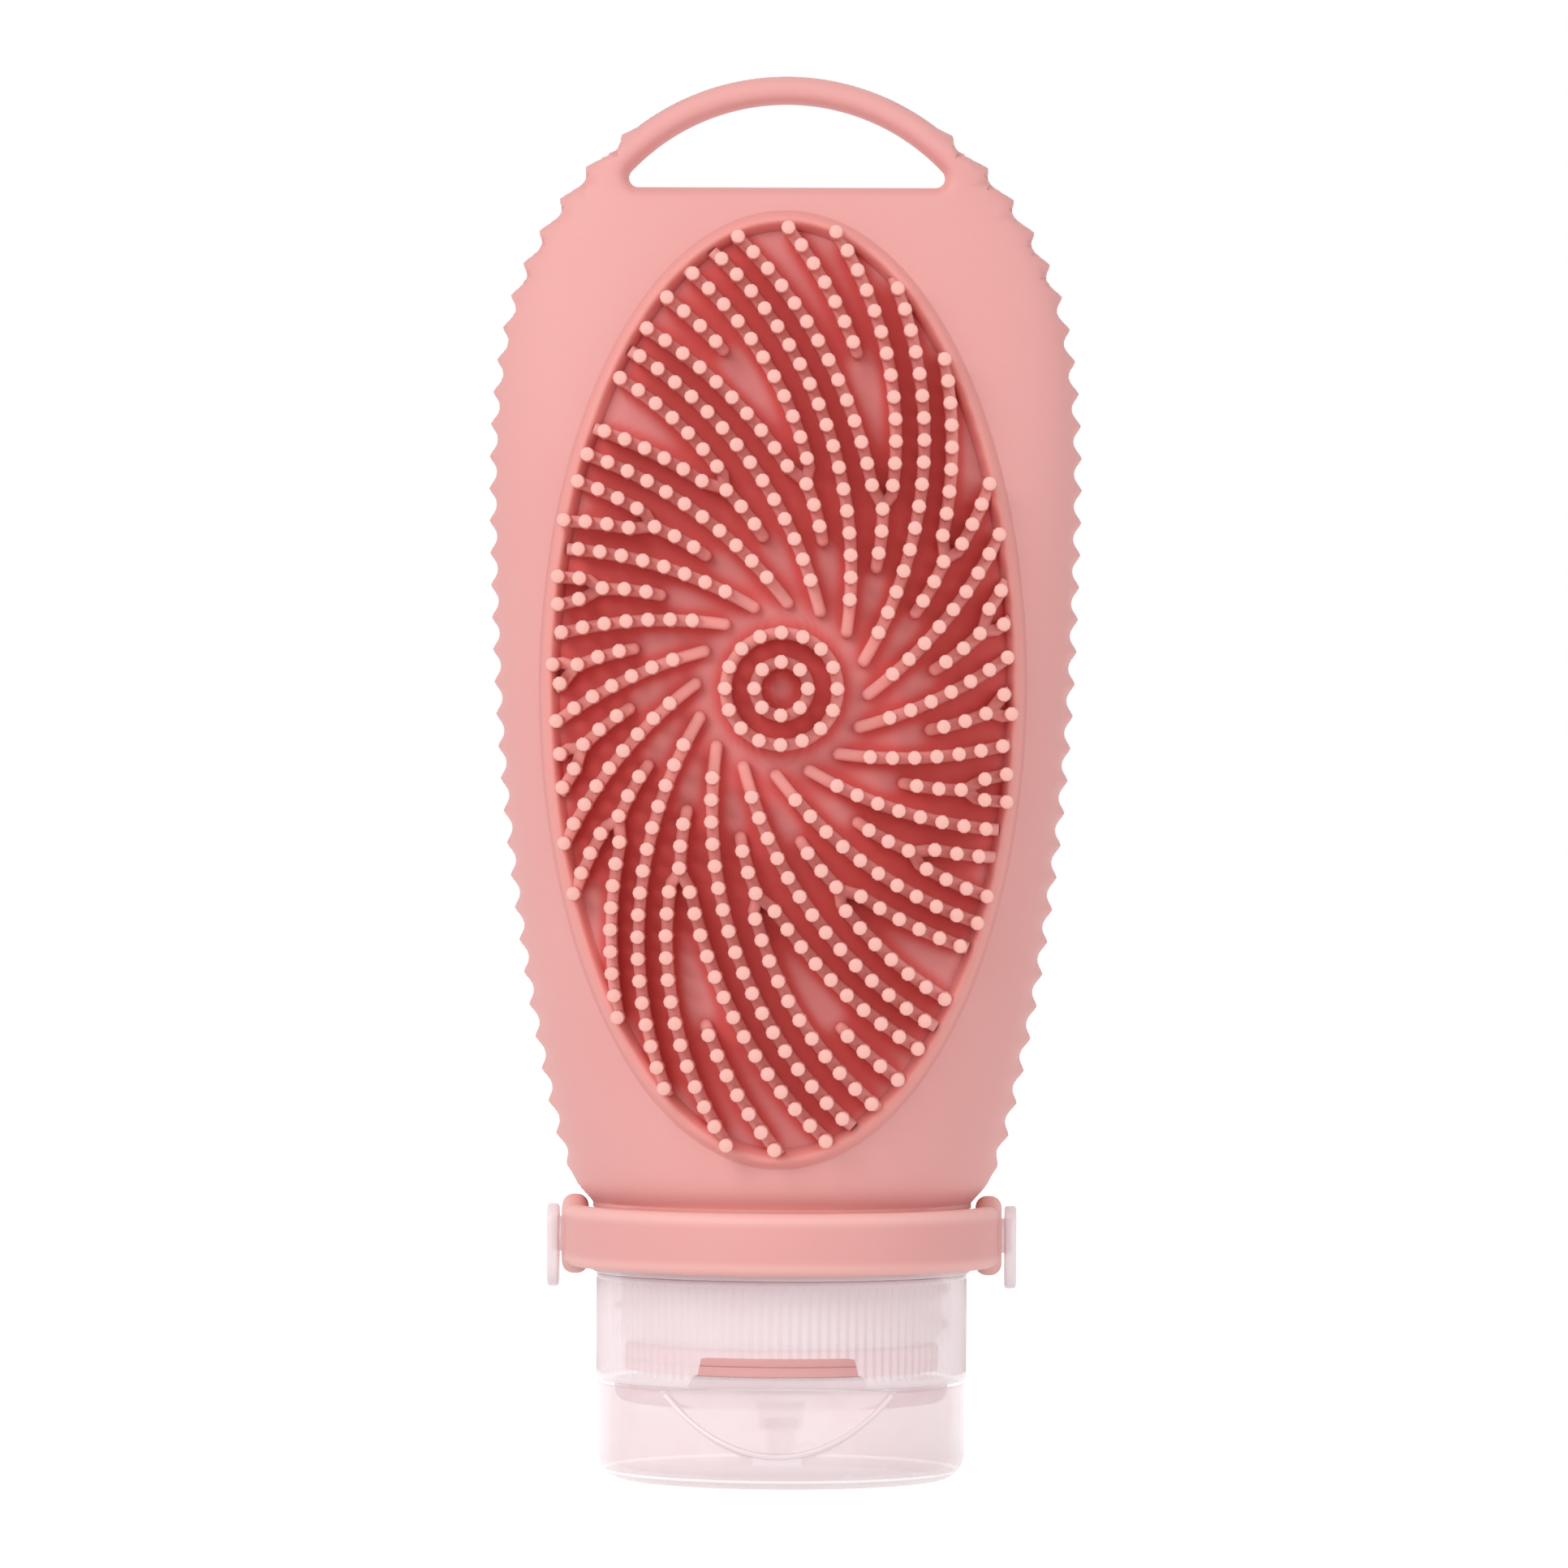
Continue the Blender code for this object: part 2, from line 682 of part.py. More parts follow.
def circle_outline(radius):
    return arc_points((0.0, PATTERN_MIDDLE), radius, 0, 360, CENTRE_RING_STEPS)[:-1]


def bristle_outline(x, z):
    return arc_points((x, z), BRISTLE_RADIUS, 90, 450, BRISTLE_SIDES)[:-1]


def oval_outline(inset):
    return [(point.x, point.z) for point in inset_ring(inset, 0.0)]


def pad_outlines():
    """(height over the face, outline) of the rim, the floor, the ribs and the bristles.

    Where two outlines overlap, the later one decides the height.
    """
    outlines = [(RIM_PROUD, oval_outline(0.0)), (PAD_FLOOR, oval_outline(RIM_WIDTH))]
    tips = []
    for radius, count in CENTRE_RINGS:
        outlines.append((RIB_PROUD, circle_outline(radius + RIB_WIDTH / 2)))
        outlines.append((PAD_FLOOR, circle_outline(radius - RIB_WIDTH / 2)))
        for step in range(count):
            angle = FULL_TURN * step / count
            tips.append((radius * math.cos(angle), PATTERN_MIDDLE + radius * math.sin(angle)))
    for index in range(ARM_COUNT):
        turn = FULL_TURN * index / ARM_COUNT
        for arm in (MAIN_ARM, SHORT_ARM):
            length = arm_length(arm, turn)
            if length > RIB_WIDTH:
                outlines.append((RIB_PROUD, rib_outline(rib_path(arm, turn, length))))
                tips += arm_bristles(arm, turn, length)
        stem_length = arm_length(FORK_STEM, turn, FORK_STEM_LENGTH)
        outlines.append((RIB_PROUD, rib_outline(rib_path(FORK_STEM, turn, stem_length))))
        tips += arm_bristles(FORK_STEM, turn, stem_length)
        fork = arm_point(FORK_STEM, turn, stem_length)
        for arm in (LEFT_BRANCH, RIGHT_BRANCH):
            length = arm_length(arm, turn)
            if length > 0.0:
                outlines.append((RIB_PROUD, rib_outline([fork, *rib_path(arm, turn, length)])))
                tips += arm_bristles(arm, turn, length)
    print("bristles:", len(tips))
    return outlines + [(BRISTLE_PROUD, bristle_outline(x, z)) for x, z in tips]


def pad_relief(bm):
    """Tops and walls of the rim, the floor, the ribs and the bristles.

    Returns the rim's outer edge, as one chain of corners for each step round the oval.
    """
    places = []
    faces = []
    heights = []
    for height, outline in pad_outlines():
        faces.append(list(range(len(places), len(places) + len(outline))))
        heights.append(height)
        places += [Vector(place) for place in outline]
    split = delaunay_2d_cdt(places, [], faces, 1, MERGE_GAP, True)
    points, _, triangles, sources, _, owners = split

    def height_of(owner):
        return RIM_PROUD if 1 not in owner else heights[max(owner)]

    kept = [(tri, height_of(owner)) for tri, owner in zip(triangles, owners) if 0 in owner]
    levels = {}
    borders = {}
    for triangle, height in kept:
        for index, point in enumerate(triangle):
            ahead = triangle[(index + 1) % 3]
            levels.setdefault(point, set()).add(height)
            borders[point, ahead] = height
    corners = {
        (point, height): bm.verts.new(raised(*points[point], height))
        for point, found in levels.items()
        for height in found
    }
    for triangle, height in kept:
        bm.faces.new([corners[point, height] for point in triangle])
    for (point, ahead), height in borders.items():
        low = borders.get((ahead, point), height)
        if low < height:
            down = sorted((h for h in levels[point] if low <= h <= height), reverse=True)
            up = sorted(h for h in levels[ahead] if low <= h <= height)
            wall = [corners[point, h] for h in down] + [corners[ahead, h] for h in up]
            bm.faces.new(wall)
    point_at = {}
    for point, source in enumerate(sources):
        for place in source:
            point_at.setdefault(place, point)
    ahead_of = {point: ahead for point, ahead in borders if (ahead, point) not in borders}
    chains = []
    for index, place in enumerate(faces[0]):
        point = point_at[place]
        end = point_at[faces[0][(index + 1) % len(faces[0])]]
        chain = [corners[point, RIM_PROUD]]
        while point != end:
            point = ahead_of[point]
            chain.append(corners[point, RIM_PROUD])
        chains.append(chain)
    return chains


def make_brush_pad():
    bm = bmesh.new()
    rim = pad_relief(bm)
    rows = [[bm.verts.new(point) for point in inset_ring(0.0, PAD_BACK)]]
    for ring in reversed(share_rings(PAD_BACK)):
        rows.append([bm.verts.new(point) for point in ring])
    for index, chain in enumerate(rim):
        bm.faces.new([*chain, rows[0][(index + 1) % PAD_STEPS], rows[0][index]])
    for row, following in zip(rows, rows[1:]):
        for index in range(PAD_STEPS):
            ahead = (index + 1) % PAD_STEPS
            bm.faces.new((row[index], row[ahead], following[ahead], following[index]))
    middle = bm.verts.new(lifted(0.0, PAD_MIDDLE, PAD_BACK))
    for index in range(PAD_STEPS):
        bm.faces.new((rows[-1][index], rows[-1][(index + 1) % PAD_STEPS], middle))
    bmesh.ops.recalc_face_normals(bm, faces=bm.faces)
    return add_piece("brush_pad", bm, PAD_SILICONE)


# Neck collar and strap


def stud_head_outline():
    """An oblong head, seen along its shank: two half-rounds with straight sides."""
    radius = STUD_HEAD_WIDTH / 2
    straight = STUD_HEAD_HEIGHT / 2 - radius
    middle = STRAP_MIDDLE - STUD_HEAD_DROP
    half = SMALL_ROUND_STEPS // 2
    top = arc_points((0.0, middle + straight), radius, 0, 180, half)
    foot = arc_points((0.0, middle - straight), radius, 180, 360, half)
    return top + foot


def make_neck_collar():
    profile = [
        (COLLAR_BORE_RADIUS, COLLAR_END),
        (LIP_RADIUS, COLLAR_END),
        (LIP_RADIUS, CAP_STEP + CLEARANCE),
        (THREAD_RADIUS - THREAD_LEAD_IN, CAP_STEP + CLEARANCE),
        (THREAD_RADIUS, CAP_STEP + CLEARANCE + THREAD_LEAD_IN),
        (THREAD_RADIUS, FLANGE_FOOT),
        (COLLAR_RADIUS, FLANGE_FOOT),
        (COLLAR_RADIUS, FLANGE_TOP - COLLAR_EDGE),
        (COLLAR_RADIUS - COLLAR_EDGE, FLANGE_TOP),
        (COLLAR_BORE_RADIUS, FLANGE_TOP),
    ]
    collar = add_piece("neck_collar", turned(profile), COLLAR_PLASTIC)
    shank_root = (COLLAR_BORE_RADIUS + COLLAR_RADIUS) / 2
    head_start = EYELET_OUTER + CLEARANCE
    head_end = head_start + STUD_HEAD_THICKNESS
    shank_end = head_start + STUD_HEAD_THICKNESS / 2
    for side, word in ((-1, "left"), (1, "right")):
        shank = rod(side * shank_root, side * shank_end, STUD_SHANK_RADIUS, STRAP_MIDDLE)
        combine(collar, "UNION", add_cutter("stud_shank_" + word, shank))
        head = extruded(stud_head_outline(), "X", side * head_start, side * head_end)
        combine(collar, "UNION", add_cutter("stud_head_" + word, head))
    return collar


def strap_corners():
    """The strap's section as (radius, height) points with small chamfers."""
    low = STRAP_MIDDLE - STRAP_WIDTH / 2
    high = STRAP_MIDDLE + STRAP_WIDTH / 2
    return [
        (STRAP_INNER_RADIUS, low + STRAP_EDGE),
        (STRAP_INNER_RADIUS + STRAP_EDGE, low),
        (STRAP_OUTER_RADIUS - STRAP_EDGE, low),
        (STRAP_OUTER_RADIUS, low + STRAP_EDGE),
        (STRAP_OUTER_RADIUS, high - STRAP_EDGE),
        (STRAP_OUTER_RADIUS - STRAP_EDGE, high),
        (STRAP_INNER_RADIUS + STRAP_EDGE, high),
        (STRAP_INNER_RADIUS, high - STRAP_EDGE),
    ]


def make_strap():
    rings = []
    for step in range(STRAP_STEPS + 1):
        angle = math.pi * (1 + step / STRAP_STEPS)
        rings.append([(r * math.cos(angle), r * math.sin(angle), z) for r, z in strap_corners()])
    axis = add_axis("strap_axis", (0.0, 0.0, STRAP_MIDDLE))
    strap = add_piece("strap", lofted(rings), SILICONE, axis)
    inner = STRAP_INNER_RADIUS - EYELET_PROUD
    hole_radius = STUD_SHANK_RADIUS + CLEARANCE
    for side, word in ((-1, "left"), (1, "right")):
        disc = rod(side * inner, side * EYELET_OUTER, EYELET_RADIUS, STRAP_MIDDLE, ROUND_STEPS // 2)
        combine(strap, "UNION", add_cutter("eyelet_" + word, disc))
    for side, word in ((-1, "left"), (1, "right")):
        hole = rod(side * (inner - OVERRUN), side * (EYELET_OUTER + OVERRUN), hole_radius, STRAP_MIDDLE)
        combine(strap, "DIFFERENCE", add_cutter("eyelet_hole_" + word, hole))
    return strap


# Seal washer, screw cap and flip lid


def make_seal_washer():
    profile = [
        (NECK_BORE_RADIUS, WASHER_FOOT),
        (LIP_RADIUS, WASHER_FOOT),
        (LIP_RADIUS, WASHER_FOOT + WASHER_THICKNESS),
        (NECK_BORE_RADIUS, WASHER_FOOT + WASHER_THICKNESS),
    ]
    axis = add_axis("cap_lift_axis", (0.0, 0.0, WASHER_FOOT))
    return add_piece("seal_washer", turned(profile), SILICONE, axis)


def scoop_wedge(inset, low, high):
    """The space in front of the lid's slanted thumb scoop, drawn in by an inset, between two heights."""
    slope = LID_SCOOP_DEPTH / (LID_HEIGHT - LID_SCOOP_FOOT)
    level_inset = inset * math.sqrt(1 + slope**2)

    def plane_y(z):
        return -LID_RADIUS + slope * (z - LID_SCOOP_FOOT) + level_inset

    front = -LID_RADIUS - OVERRUN
    outline = [(front, low), (plane_y(low), low), (plane_y(high), high), (front, high)]
    reach = LID_RADIUS + OVERRUN
    return extruded(outline, "X", -reach, reach)


def hinge_half(root_radius, low, high):
    """One half of the hinge at the back, from inside the wall out to the axis."""
    outline = [
        (root_radius - HINGE_ROOT, low),
        (HINGE_AXIS_Y, low),
        (HINGE_AXIS_Y, high),
        (root_radius - HINGE_ROOT, high),
    ]
    return extruded(outline, "X", -HINGE_WIDTH / 2, HINGE_WIDTH / 2)


def make_screw_cap():
    thread_bore = THREAD_RADIUS + CLEARANCE
    lip_bore = LIP_RADIUS + CLEARANCE
    plateau = LID_RADIUS - LID_WALL - PLATEAU_GAP
    plateau_foot = SEAM - PLATEAU_DEPTH
    nozzle_bore = PIN_RADIUS + CLEARANCE
    profile = [
        (nozzle_bore, plateau_foot - NOZZLE_LENGTH),
        (NOZZLE_TIP_RADIUS, plateau_foot - NOZZLE_LENGTH),
        (NOZZLE_ROOT_RADIUS, plateau_foot),
        (plateau - PLATEAU_EDGE, plateau_foot),
        (plateau, plateau_foot + PLATEAU_EDGE),
        (plateau, SEAM),
        (CAP_RADIUS - CAP_EDGE, SEAM),
        (CAP_RADIUS, SEAM + CAP_EDGE),
        (CAP_RADIUS, CAP_TOP - CAP_EDGE),
        (CAP_RADIUS - CAP_EDGE, CAP_TOP),
        (thread_bore, CAP_TOP),
        (thread_bore, CAP_STEP),
        (lip_bore, CAP_STEP),
        (lip_bore, LEDGE),
        (nozzle_bore, LEDGE),
    ]
    axis = add_axis("cap_turn_axis", (0.0, 0.0, SEAM))
    cap = add_piece("screw_cap", turned(profile), CLEAR_PLASTIC, axis)

    flat_inset = LID_WALL + SCOOP_GAP
    flat = scoop_wedge(flat_inset, plateau_foot - OVERRUN, SEAM)
    combine(cap, "DIFFERENCE", add_cutter("plateau_flat", flat))

    deck_top = plateau_foot + DECK
    hollow_radius = plateau - PLATEAU_WALL
    hollow_profile = [
        (0.0, deck_top),
        (hollow_radius, deck_top),
        (hollow_radius, LEDGE + SHOULDER),
        (0.0, LEDGE + SHOULDER),
    ]
    hollow = add_cutter("plateau_hollow", turned(hollow_profile))
    behind = scoop_wedge(flat_inset + PLATEAU_WALL, deck_top - OVERRUN, LEDGE + OVERRUN)
    combine(hollow, "DIFFERENCE", add_cutter("plateau_hollow_trim", behind))
    combine(cap, "DIFFERENCE", hollow)

    ledge_y = -CAP_RADIUS + WINDOW_LEDGE
    foot_y = -CAP_RADIUS + WINDOW_DEPTH
    front = -CAP_RADIUS - OVERRUN
    window_foot = SEAM - CLEARANCE
    window_top = SEAM + WINDOW_HEIGHT
    outline = [(front, window_foot), (foot_y, window_foot), (ledge_y, window_top), (front, window_top)]
    window = extruded(outline, "X", -CAP_RADIUS, CAP_RADIUS)
    combine(cap, "DIFFERENCE", add_cutter("cap_window", window))

    half = hinge_half(CAP_RADIUS, SEAM, SEAM + HINGE_HEIGHT)
    combine(cap, "UNION", add_cutter("cap_hinge_half", half))
    return cap


def cup_profile(radius, corner, foot, top):
    """Outline of a round cup's solid: flat end, rounded corner and straight side."""
    corner_points = arc_points((radius - corner, foot + corner), corner, 270, 360, CORNER_STEPS)
    return [(0.0, foot), *corner_points, (radius, top), (0.0, top)]


def make_flip_lid():
    axis = add_axis("lid_axis", (0.0, HINGE_AXIS_Y, HINGE_AXIS_Z))
    profile = cup_profile(LID_RADIUS, LID_CORNER, 0.0, LID_HEIGHT)
    lid = add_piece("flip_lid", turned(profile), CLEAR_PLASTIC, axis)
    scoop = scoop_wedge(0.0, LID_SCOOP_FOOT, LID_HEIGHT + OVERRUN)
    combine(lid, "DIFFERENCE", add_cutter("lid_scoop", scoop))

    inner_corner = LID_CORNER - LID_WALL
    inner = cup_profile(LID_RADIUS - LID_WALL, inner_corner, LID_WALL, LID_HEIGHT + OVERRUN)
    hollow = add_cutter("lid_hollow", turned(inner))
    behind = scoop_wedge(LID_WALL, -OVERRUN, LID_HEIGHT + 2 * OVERRUN)
    combine(hollow, "DIFFERENCE", add_cutter("lid_hollow_trim", behind))
    combine(lid, "DIFFERENCE", hollow)

    pin_profile = [
        (0.0, LID_WALL / 2),
        (PIN_RADIUS, LID_WALL / 2),
        (PIN_RADIUS, PIN_HEIGHT - PIN_RADIUS / 2),
        (PIN_RADIUS / 2, PIN_HEIGHT),
        (0.0, PIN_HEIGHT),
    ]
    combine(lid, "UNION", add_cutter("lid_pin", turned(pin_profile, SMALL_ROUND_STEPS)))
    half = hinge_half(LID_RADIUS, LID_HEIGHT - HINGE_HEIGHT, LID_HEIGHT)
    combine(lid, "UNION", add_cutter("lid_hinge_half", half))
    return lid


def main():
    clear_scene()
    make_bottle_body()
    make_brush_pad()
    make_neck_collar()
    make_strap()
    make_seal_washer()
    make_screw_cap()
    make_flip_lid()


main()
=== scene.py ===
import math

import bmesh
import bpy
from mathutils import Matrix, Vector
from mathutils.geometry import delaunay_2d_cdt
from mathutils.kdtree import KDTree


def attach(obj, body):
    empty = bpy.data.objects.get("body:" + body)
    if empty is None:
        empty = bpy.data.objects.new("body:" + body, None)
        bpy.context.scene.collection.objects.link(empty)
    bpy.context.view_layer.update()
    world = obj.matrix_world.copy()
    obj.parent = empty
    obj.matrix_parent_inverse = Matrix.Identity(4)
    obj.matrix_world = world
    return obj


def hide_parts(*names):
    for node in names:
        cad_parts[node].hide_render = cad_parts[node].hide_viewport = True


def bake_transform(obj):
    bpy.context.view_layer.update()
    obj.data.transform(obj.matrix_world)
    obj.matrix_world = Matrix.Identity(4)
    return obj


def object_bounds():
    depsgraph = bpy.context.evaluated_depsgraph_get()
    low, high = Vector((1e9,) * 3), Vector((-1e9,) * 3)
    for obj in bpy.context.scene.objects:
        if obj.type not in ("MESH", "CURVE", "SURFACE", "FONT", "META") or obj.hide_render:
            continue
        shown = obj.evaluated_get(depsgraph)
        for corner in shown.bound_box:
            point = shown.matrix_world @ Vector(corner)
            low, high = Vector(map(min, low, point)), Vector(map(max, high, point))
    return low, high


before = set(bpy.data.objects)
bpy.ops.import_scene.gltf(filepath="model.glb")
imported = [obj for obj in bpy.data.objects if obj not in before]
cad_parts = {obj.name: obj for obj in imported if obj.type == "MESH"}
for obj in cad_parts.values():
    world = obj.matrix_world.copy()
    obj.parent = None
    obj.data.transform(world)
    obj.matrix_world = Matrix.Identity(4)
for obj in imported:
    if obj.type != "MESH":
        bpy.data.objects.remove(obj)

bl_info = {
    "name": "Shower brush dispenser bottle",
    "version": (1, 0, 0),
    "blender": (4, 5, 0),
    "location": "View3D > Sidebar > Brush bottle",
    "description": "Dresses the bottle's packed model in moulded silicone and clear polypropylene",
    "category": "Object",
}

MM = 0.001
FULL_TURN = 2.0 * math.pi
TOUCH = 0.01 * MM
CAD_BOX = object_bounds()

# Heights of the stack, from the flat end of the lid up
SCOOP_FOOT = 3.9 * MM
PLATEAU_FOOT = 8.85 * MM
HINGE_FOOT = 9.0 * MM
LID_TOP = 11.0 * MM
SEAM = 11.3 * MM
LEDGE = 12.2 * MM
WASHER_FOOT = 12.5 * MM
WASHER_TOP = 13.67 * MM
LIP_FOOT = 13.7 * MM
LIP_TOP = 15.4 * MM
COLLAR_END = 15.7 * MM
CAP_STEP = 16.0 * MM
CAP_TOP = 23.5 * MM
FLANGE_FOOT = 23.6 * MM
STRAP_MIDDLE = 27.75 * MM
FLANGE_TOP = 30.9 * MM
SKIRT_FOOT = 30.95 * MM
BODY_FOOT = 31.55 * MM
CAVITY_FOOT = 34.0 * MM
BODY_TOP = CAD_BOX[1].z
BODY_HEIGHT = BODY_TOP - BODY_FOOT

# The hinge's axis and half its width
HINGE_Y = 22.15 * MM
HINGE_Z = 11.15 * MM
HINGE_REACH = 6.0 * MM

# Radii of the turned pieces, from the inside out
NECK_BORE = 13.0 * MM
NECK_RADIUS = 15.4 * MM
COLLAR_BORE = 15.7 * MM
LIP_RADIUS = 17.9 * MM
CAP_BORE = 18.2 * MM
COLLAR_CORE = 18.3 * MM
PLATEAU_RADIUS = 19.0 * MM
THREAD_BORE = 19.35 * MM
LID_RADIUS = 20.95 * MM
CAP_RADIUS = 21.15 * MM
FLANGE_RADIUS = 21.6 * MM

# Walls and gaps
LID_WALL = 1.35 * MM
PLATEAU_WALL = 1.6 * MM
SCOOP_GAP = 0.4 * MM
SIDE_WALL = 2.4 * MM
FACE_WALL = 3.1 * MM
CAVITY_SET_BACK = 0.7 * MM
CAVITY_ROWS = 13

# The thumb scoop's face leans back by this much for each step up
SCOOP_SLOPE = 4.6 / 7.1

# The form of the bottle: shares of its height and of its greatest half-sizes
BODY_HALF_WIDTH = 33.3 * MM
BODY_HALF_DEPTH = 22.6 * MM
WIDTH_STATIONS = (
    (0.0, 0.650), (0.017, 0.706), (0.039, 0.741), (0.098, 0.799), (0.213, 0.883), (0.388, 0.964),
    (0.586, 1.000), (0.706, 0.994), (0.793, 0.942), (0.852, 0.852), (0.898, 0.739), (0.926, 0.643),
)
DEPTH_STATIONS = (
    (0.0, 0.930), (0.017, 0.985), (0.039, 1.000), (0.102, 0.982), (0.219, 0.912), (0.375, 0.788),
    (0.531, 0.642), (0.688, 0.469), (0.805, 0.310), (0.898, 0.170), (0.955, 0.128), (1.0, 0.115),
)
SQUARENESS_STATIONS = ((0.0, 2.0), (0.22, 2.1), (0.6, 2.35), (0.8, 2.7), (0.9, 3.3), (1.0, 4.0))
SHOULDER_Z = BODY_FOOT + 0.955 * BODY_HEIGHT
LOOP_RADIUS = 28.1 * MM
LOOP_MIDDLE = BODY_TOP - LOOP_RADIUS
HOLE_RADIUS = 24.4 * MM
HOLE_TOP = BODY_TOP - 3.2 * MM
HOLE_MIDDLE = HOLE_TOP - HOLE_RADIUS
HOLE_FOOT = HOLE_TOP - 9.5 * MM
HOLE_CORNER = 1.1 * MM
ARCH_START = 146.0 * MM
ARCH_FULL = 152.0 * MM
ROUND_POWER = 2.3
WAVE_START = BODY_FOOT + 4.0 * MM
WAVE_SOFTNESS = 0.05
WAVE_REACH = 0.4
FACE_PITCH = 1.7 * MM
ARCH_STEPS = 54

# The pad on the front face
PAD_HALF_WIDTH = 27.3 * MM
PAD_HALF_HEIGHT = 53.9 * MM
PAD_MIDDLE = 90.3 * MM
PATTERN_MIDDLE = 89.86 * MM
PATTERN_BOW = 0.5 * MM
PAD_FLOOR = -0.6 * MM
PAD_BACK = -1.8 * MM
SEAT_DEPTH = -2.1 * MM
PAD_GAP = 0.3 * MM
SEAT_EDGE = 0.55 * MM
OVAL_STEPS = 360
CENTRE_RISE = 0.45 * MM
FLOOR_RINGS = 56

# Sixteen swept arms: start radius, start angle, turn away from the radius, bend radius, run to the
# first bristle
ARM_COUNT = 16
MAIN_ARM = (9.7 * MM, -3.4, 40.5, 48.9 * MM, 3.6 * MM)
FORK_STEM = (17.3 * MM, 7.5, 24.8, 29.1 * MM, 1.55 * MM)
FORK_STEM_LENGTH = 7.2 * MM
LEFT_BRANCH = (25.1 * MM, 15.8, 21.0, 42.9 * MM, 0.95 * MM)
RIGHT_BRANCH = (24.9 * MM, 21.2, 35.3, 54.0 * MM, 0.1 * MM)
SHORT_ARM = (38.8 * MM, 32.8, 32.9, 53.3 * MM, 1.1 * MM)
LONGEST_ARM = 75.0 * MM
BRISTLE_INSET = 0.85 * MM
CENTRE_RINGS = ((6.3 * MM, 16), (3.0 * MM, 8))

# Angles from a free edge into the surface that round it
EDGE_ANGLES = (0.0, 2.5, 6.0, 10.0, 15.0, 21.0, 28.0, 36.0)
ROUND_ANGLES = (0.0, 13.0, 27.0, 42.0, 58.0, 74.0, 90.0)
RIB_END_ANGLES = (90.0, 72.0, 50.0, 25.0)
FOOT_STEP = 6
FOOT_ANGLES = tuple(range(0, 91, FOOT_STEP))
FOOT_RISES = (0.0, 0.12, 0.3, 0.6, 1.0, 1.5, 2.1, 2.8)


def linear(code):
    """Linear colour of an sRGB hex value."""
    parts = [int(code[index:index + 2], 16) / 255 for index in (1, 3, 5)]
    return tuple(p / 12.92 if p <= 0.04045 else ((p + 0.055) / 1.055) ** 2.4 for p in parts)


def length_property(name, description, millimetres):
    return bpy.props.FloatProperty(
        name=name, description=description, default=millimetres * MM, min=0.0,
        unit="LENGTH", subtype="DISTANCE", precision=5,
    )


def colour_property(name, description, code):
    return bpy.props.FloatVectorProperty(
        name=name, description=description, default=linear(code), min=0.0, max=1.0,
        size=3, subtype="COLOR",
    )


class BrushBottleSizes(bpy.types.PropertyGroup):
    """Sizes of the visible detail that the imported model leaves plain."""

    wave_pitch: length_property("Wave pitch", "Height of one wave on the side edges", 3.68)
    wave_height: length_property("Wave height", "Depth of the waves at the widest place", 0.85)
    wave_top_height: length_property("Top wave height", "Depth of the waves near the loop", 1.7)
    edge_round: length_property("Edge rounding", "In-plane rounding of the loop's edges", 1.575)
    rim_width: length_property("Rim width", "Width of the bead round the pad", 2.1)
    rim_rise: length_property("Rim rise", "Height of the bead over the bottle's face", 1.25)
    rib_width: length_property("Rib width", "Width of the ribs under the bristles", 1.35)
    rib_rise: length_property("Rib rise", "Height of the ribs over the bottle's face", 0.95)
    bristle_radius: length_property("Bristle radius", "Radius of a bristle at its tip", 0.83)
    bristle_pitch: length_property("Bristle pitch", "Distance from bristle to bristle", 2.49)
    bristle_rise: length_property("Bristle rise", "Height of the tips over the face", 5.0)
    thread_lead: length_property("Thread lead", "Rise of the cap's thread in one turn", 4.0)
    grip_depth: length_property("Grip depth", "Depth of the fine grooves on the cap", 0.22)
    grip_count: bpy.props.IntProperty(
        name="Grip ribs", description="Number of fine ribs round the cap", default=120, min=12,
    )


class BrushBottleColours(bpy.types.PropertyGroup):
    """Colours of the finishes."""

    silicone: colour_property("Silicone", "Colour of the bottle and the strap", "#EEADA9")
    silicone_shade: colour_property("Silicone shade", "Second tone of the mottling", "#E9A5A1")
    # Painted highlight: the strap's top and bottom edges are painted in this paler tone.
    strap_edge_highlight: colour_property("Silicone edge", "Strap edges, where light comes through", "#F9BEB8")
    # Painted shade on the pad floor: this red where the ribs stand far apart, the deeper red below in the
    # channels between close ribs.
    pad_open: colour_property("Open pad floor", "Silicone where the ribs stand far apart", "#E29290")
    pad_shaded_floor: colour_property("Deep pad floor", "Silicone in the channels between close ribs", "#DA5A56")
    # Painted shade by height on the pad: the tone pales from the floor to the ribs' tops, up the bristles'
    # sides, to a painted light on their tips.
    rib_crest_shade: colour_property("Pad ribs", "Silicone on top of the ribs", "#F0A19B")
    shaded_bristle_sides: colour_property("Bristle sides", "Silicone below the bristles' tips", "#F0A096")
    lit_bristle_tips: colour_property("Bristle tips", "Silicone at the ends of the bristles", "#FBBFB5")
    clear_plastic: colour_property("Clear plastic", "Tint of the lid", "#F0C6CD")
    cap_plastic: colour_property("Cap plastic", "Tint of the cap's ribbed wall", "#FAE4E9")
    collar_plastic: colour_property("Collar plastic", "Tint of the collar", "#F3DDE2")


def sizes():
    return bpy.context.scene.brush_bottle_sizes


def colours():
    return bpy.context.scene.brush_bottle_colours


# Materials


def add_node(tree, kind, settings=None, values=None, links=None):
    """A node with its settings, its socket values and its links from other nodes' sockets."""
    made = tree.nodes.new(kind)
    for key, value in (settings or {}).items():
        setattr(made, key, value)
    for key, value in (values or {}).items():
        made.inputs[key].default_value = value
    for key, source in (links or {}).items():
        tree.links.new(source, made.inputs[key])
    return made


def new_tree(name):
    """A new material with empty nodes."""
    made = bpy.data.materials.new(name)
    made.use_nodes = True
    made.node_tree.nodes.clear()
    return made


def with_alpha(colour):
    return (*colour, 1.0)


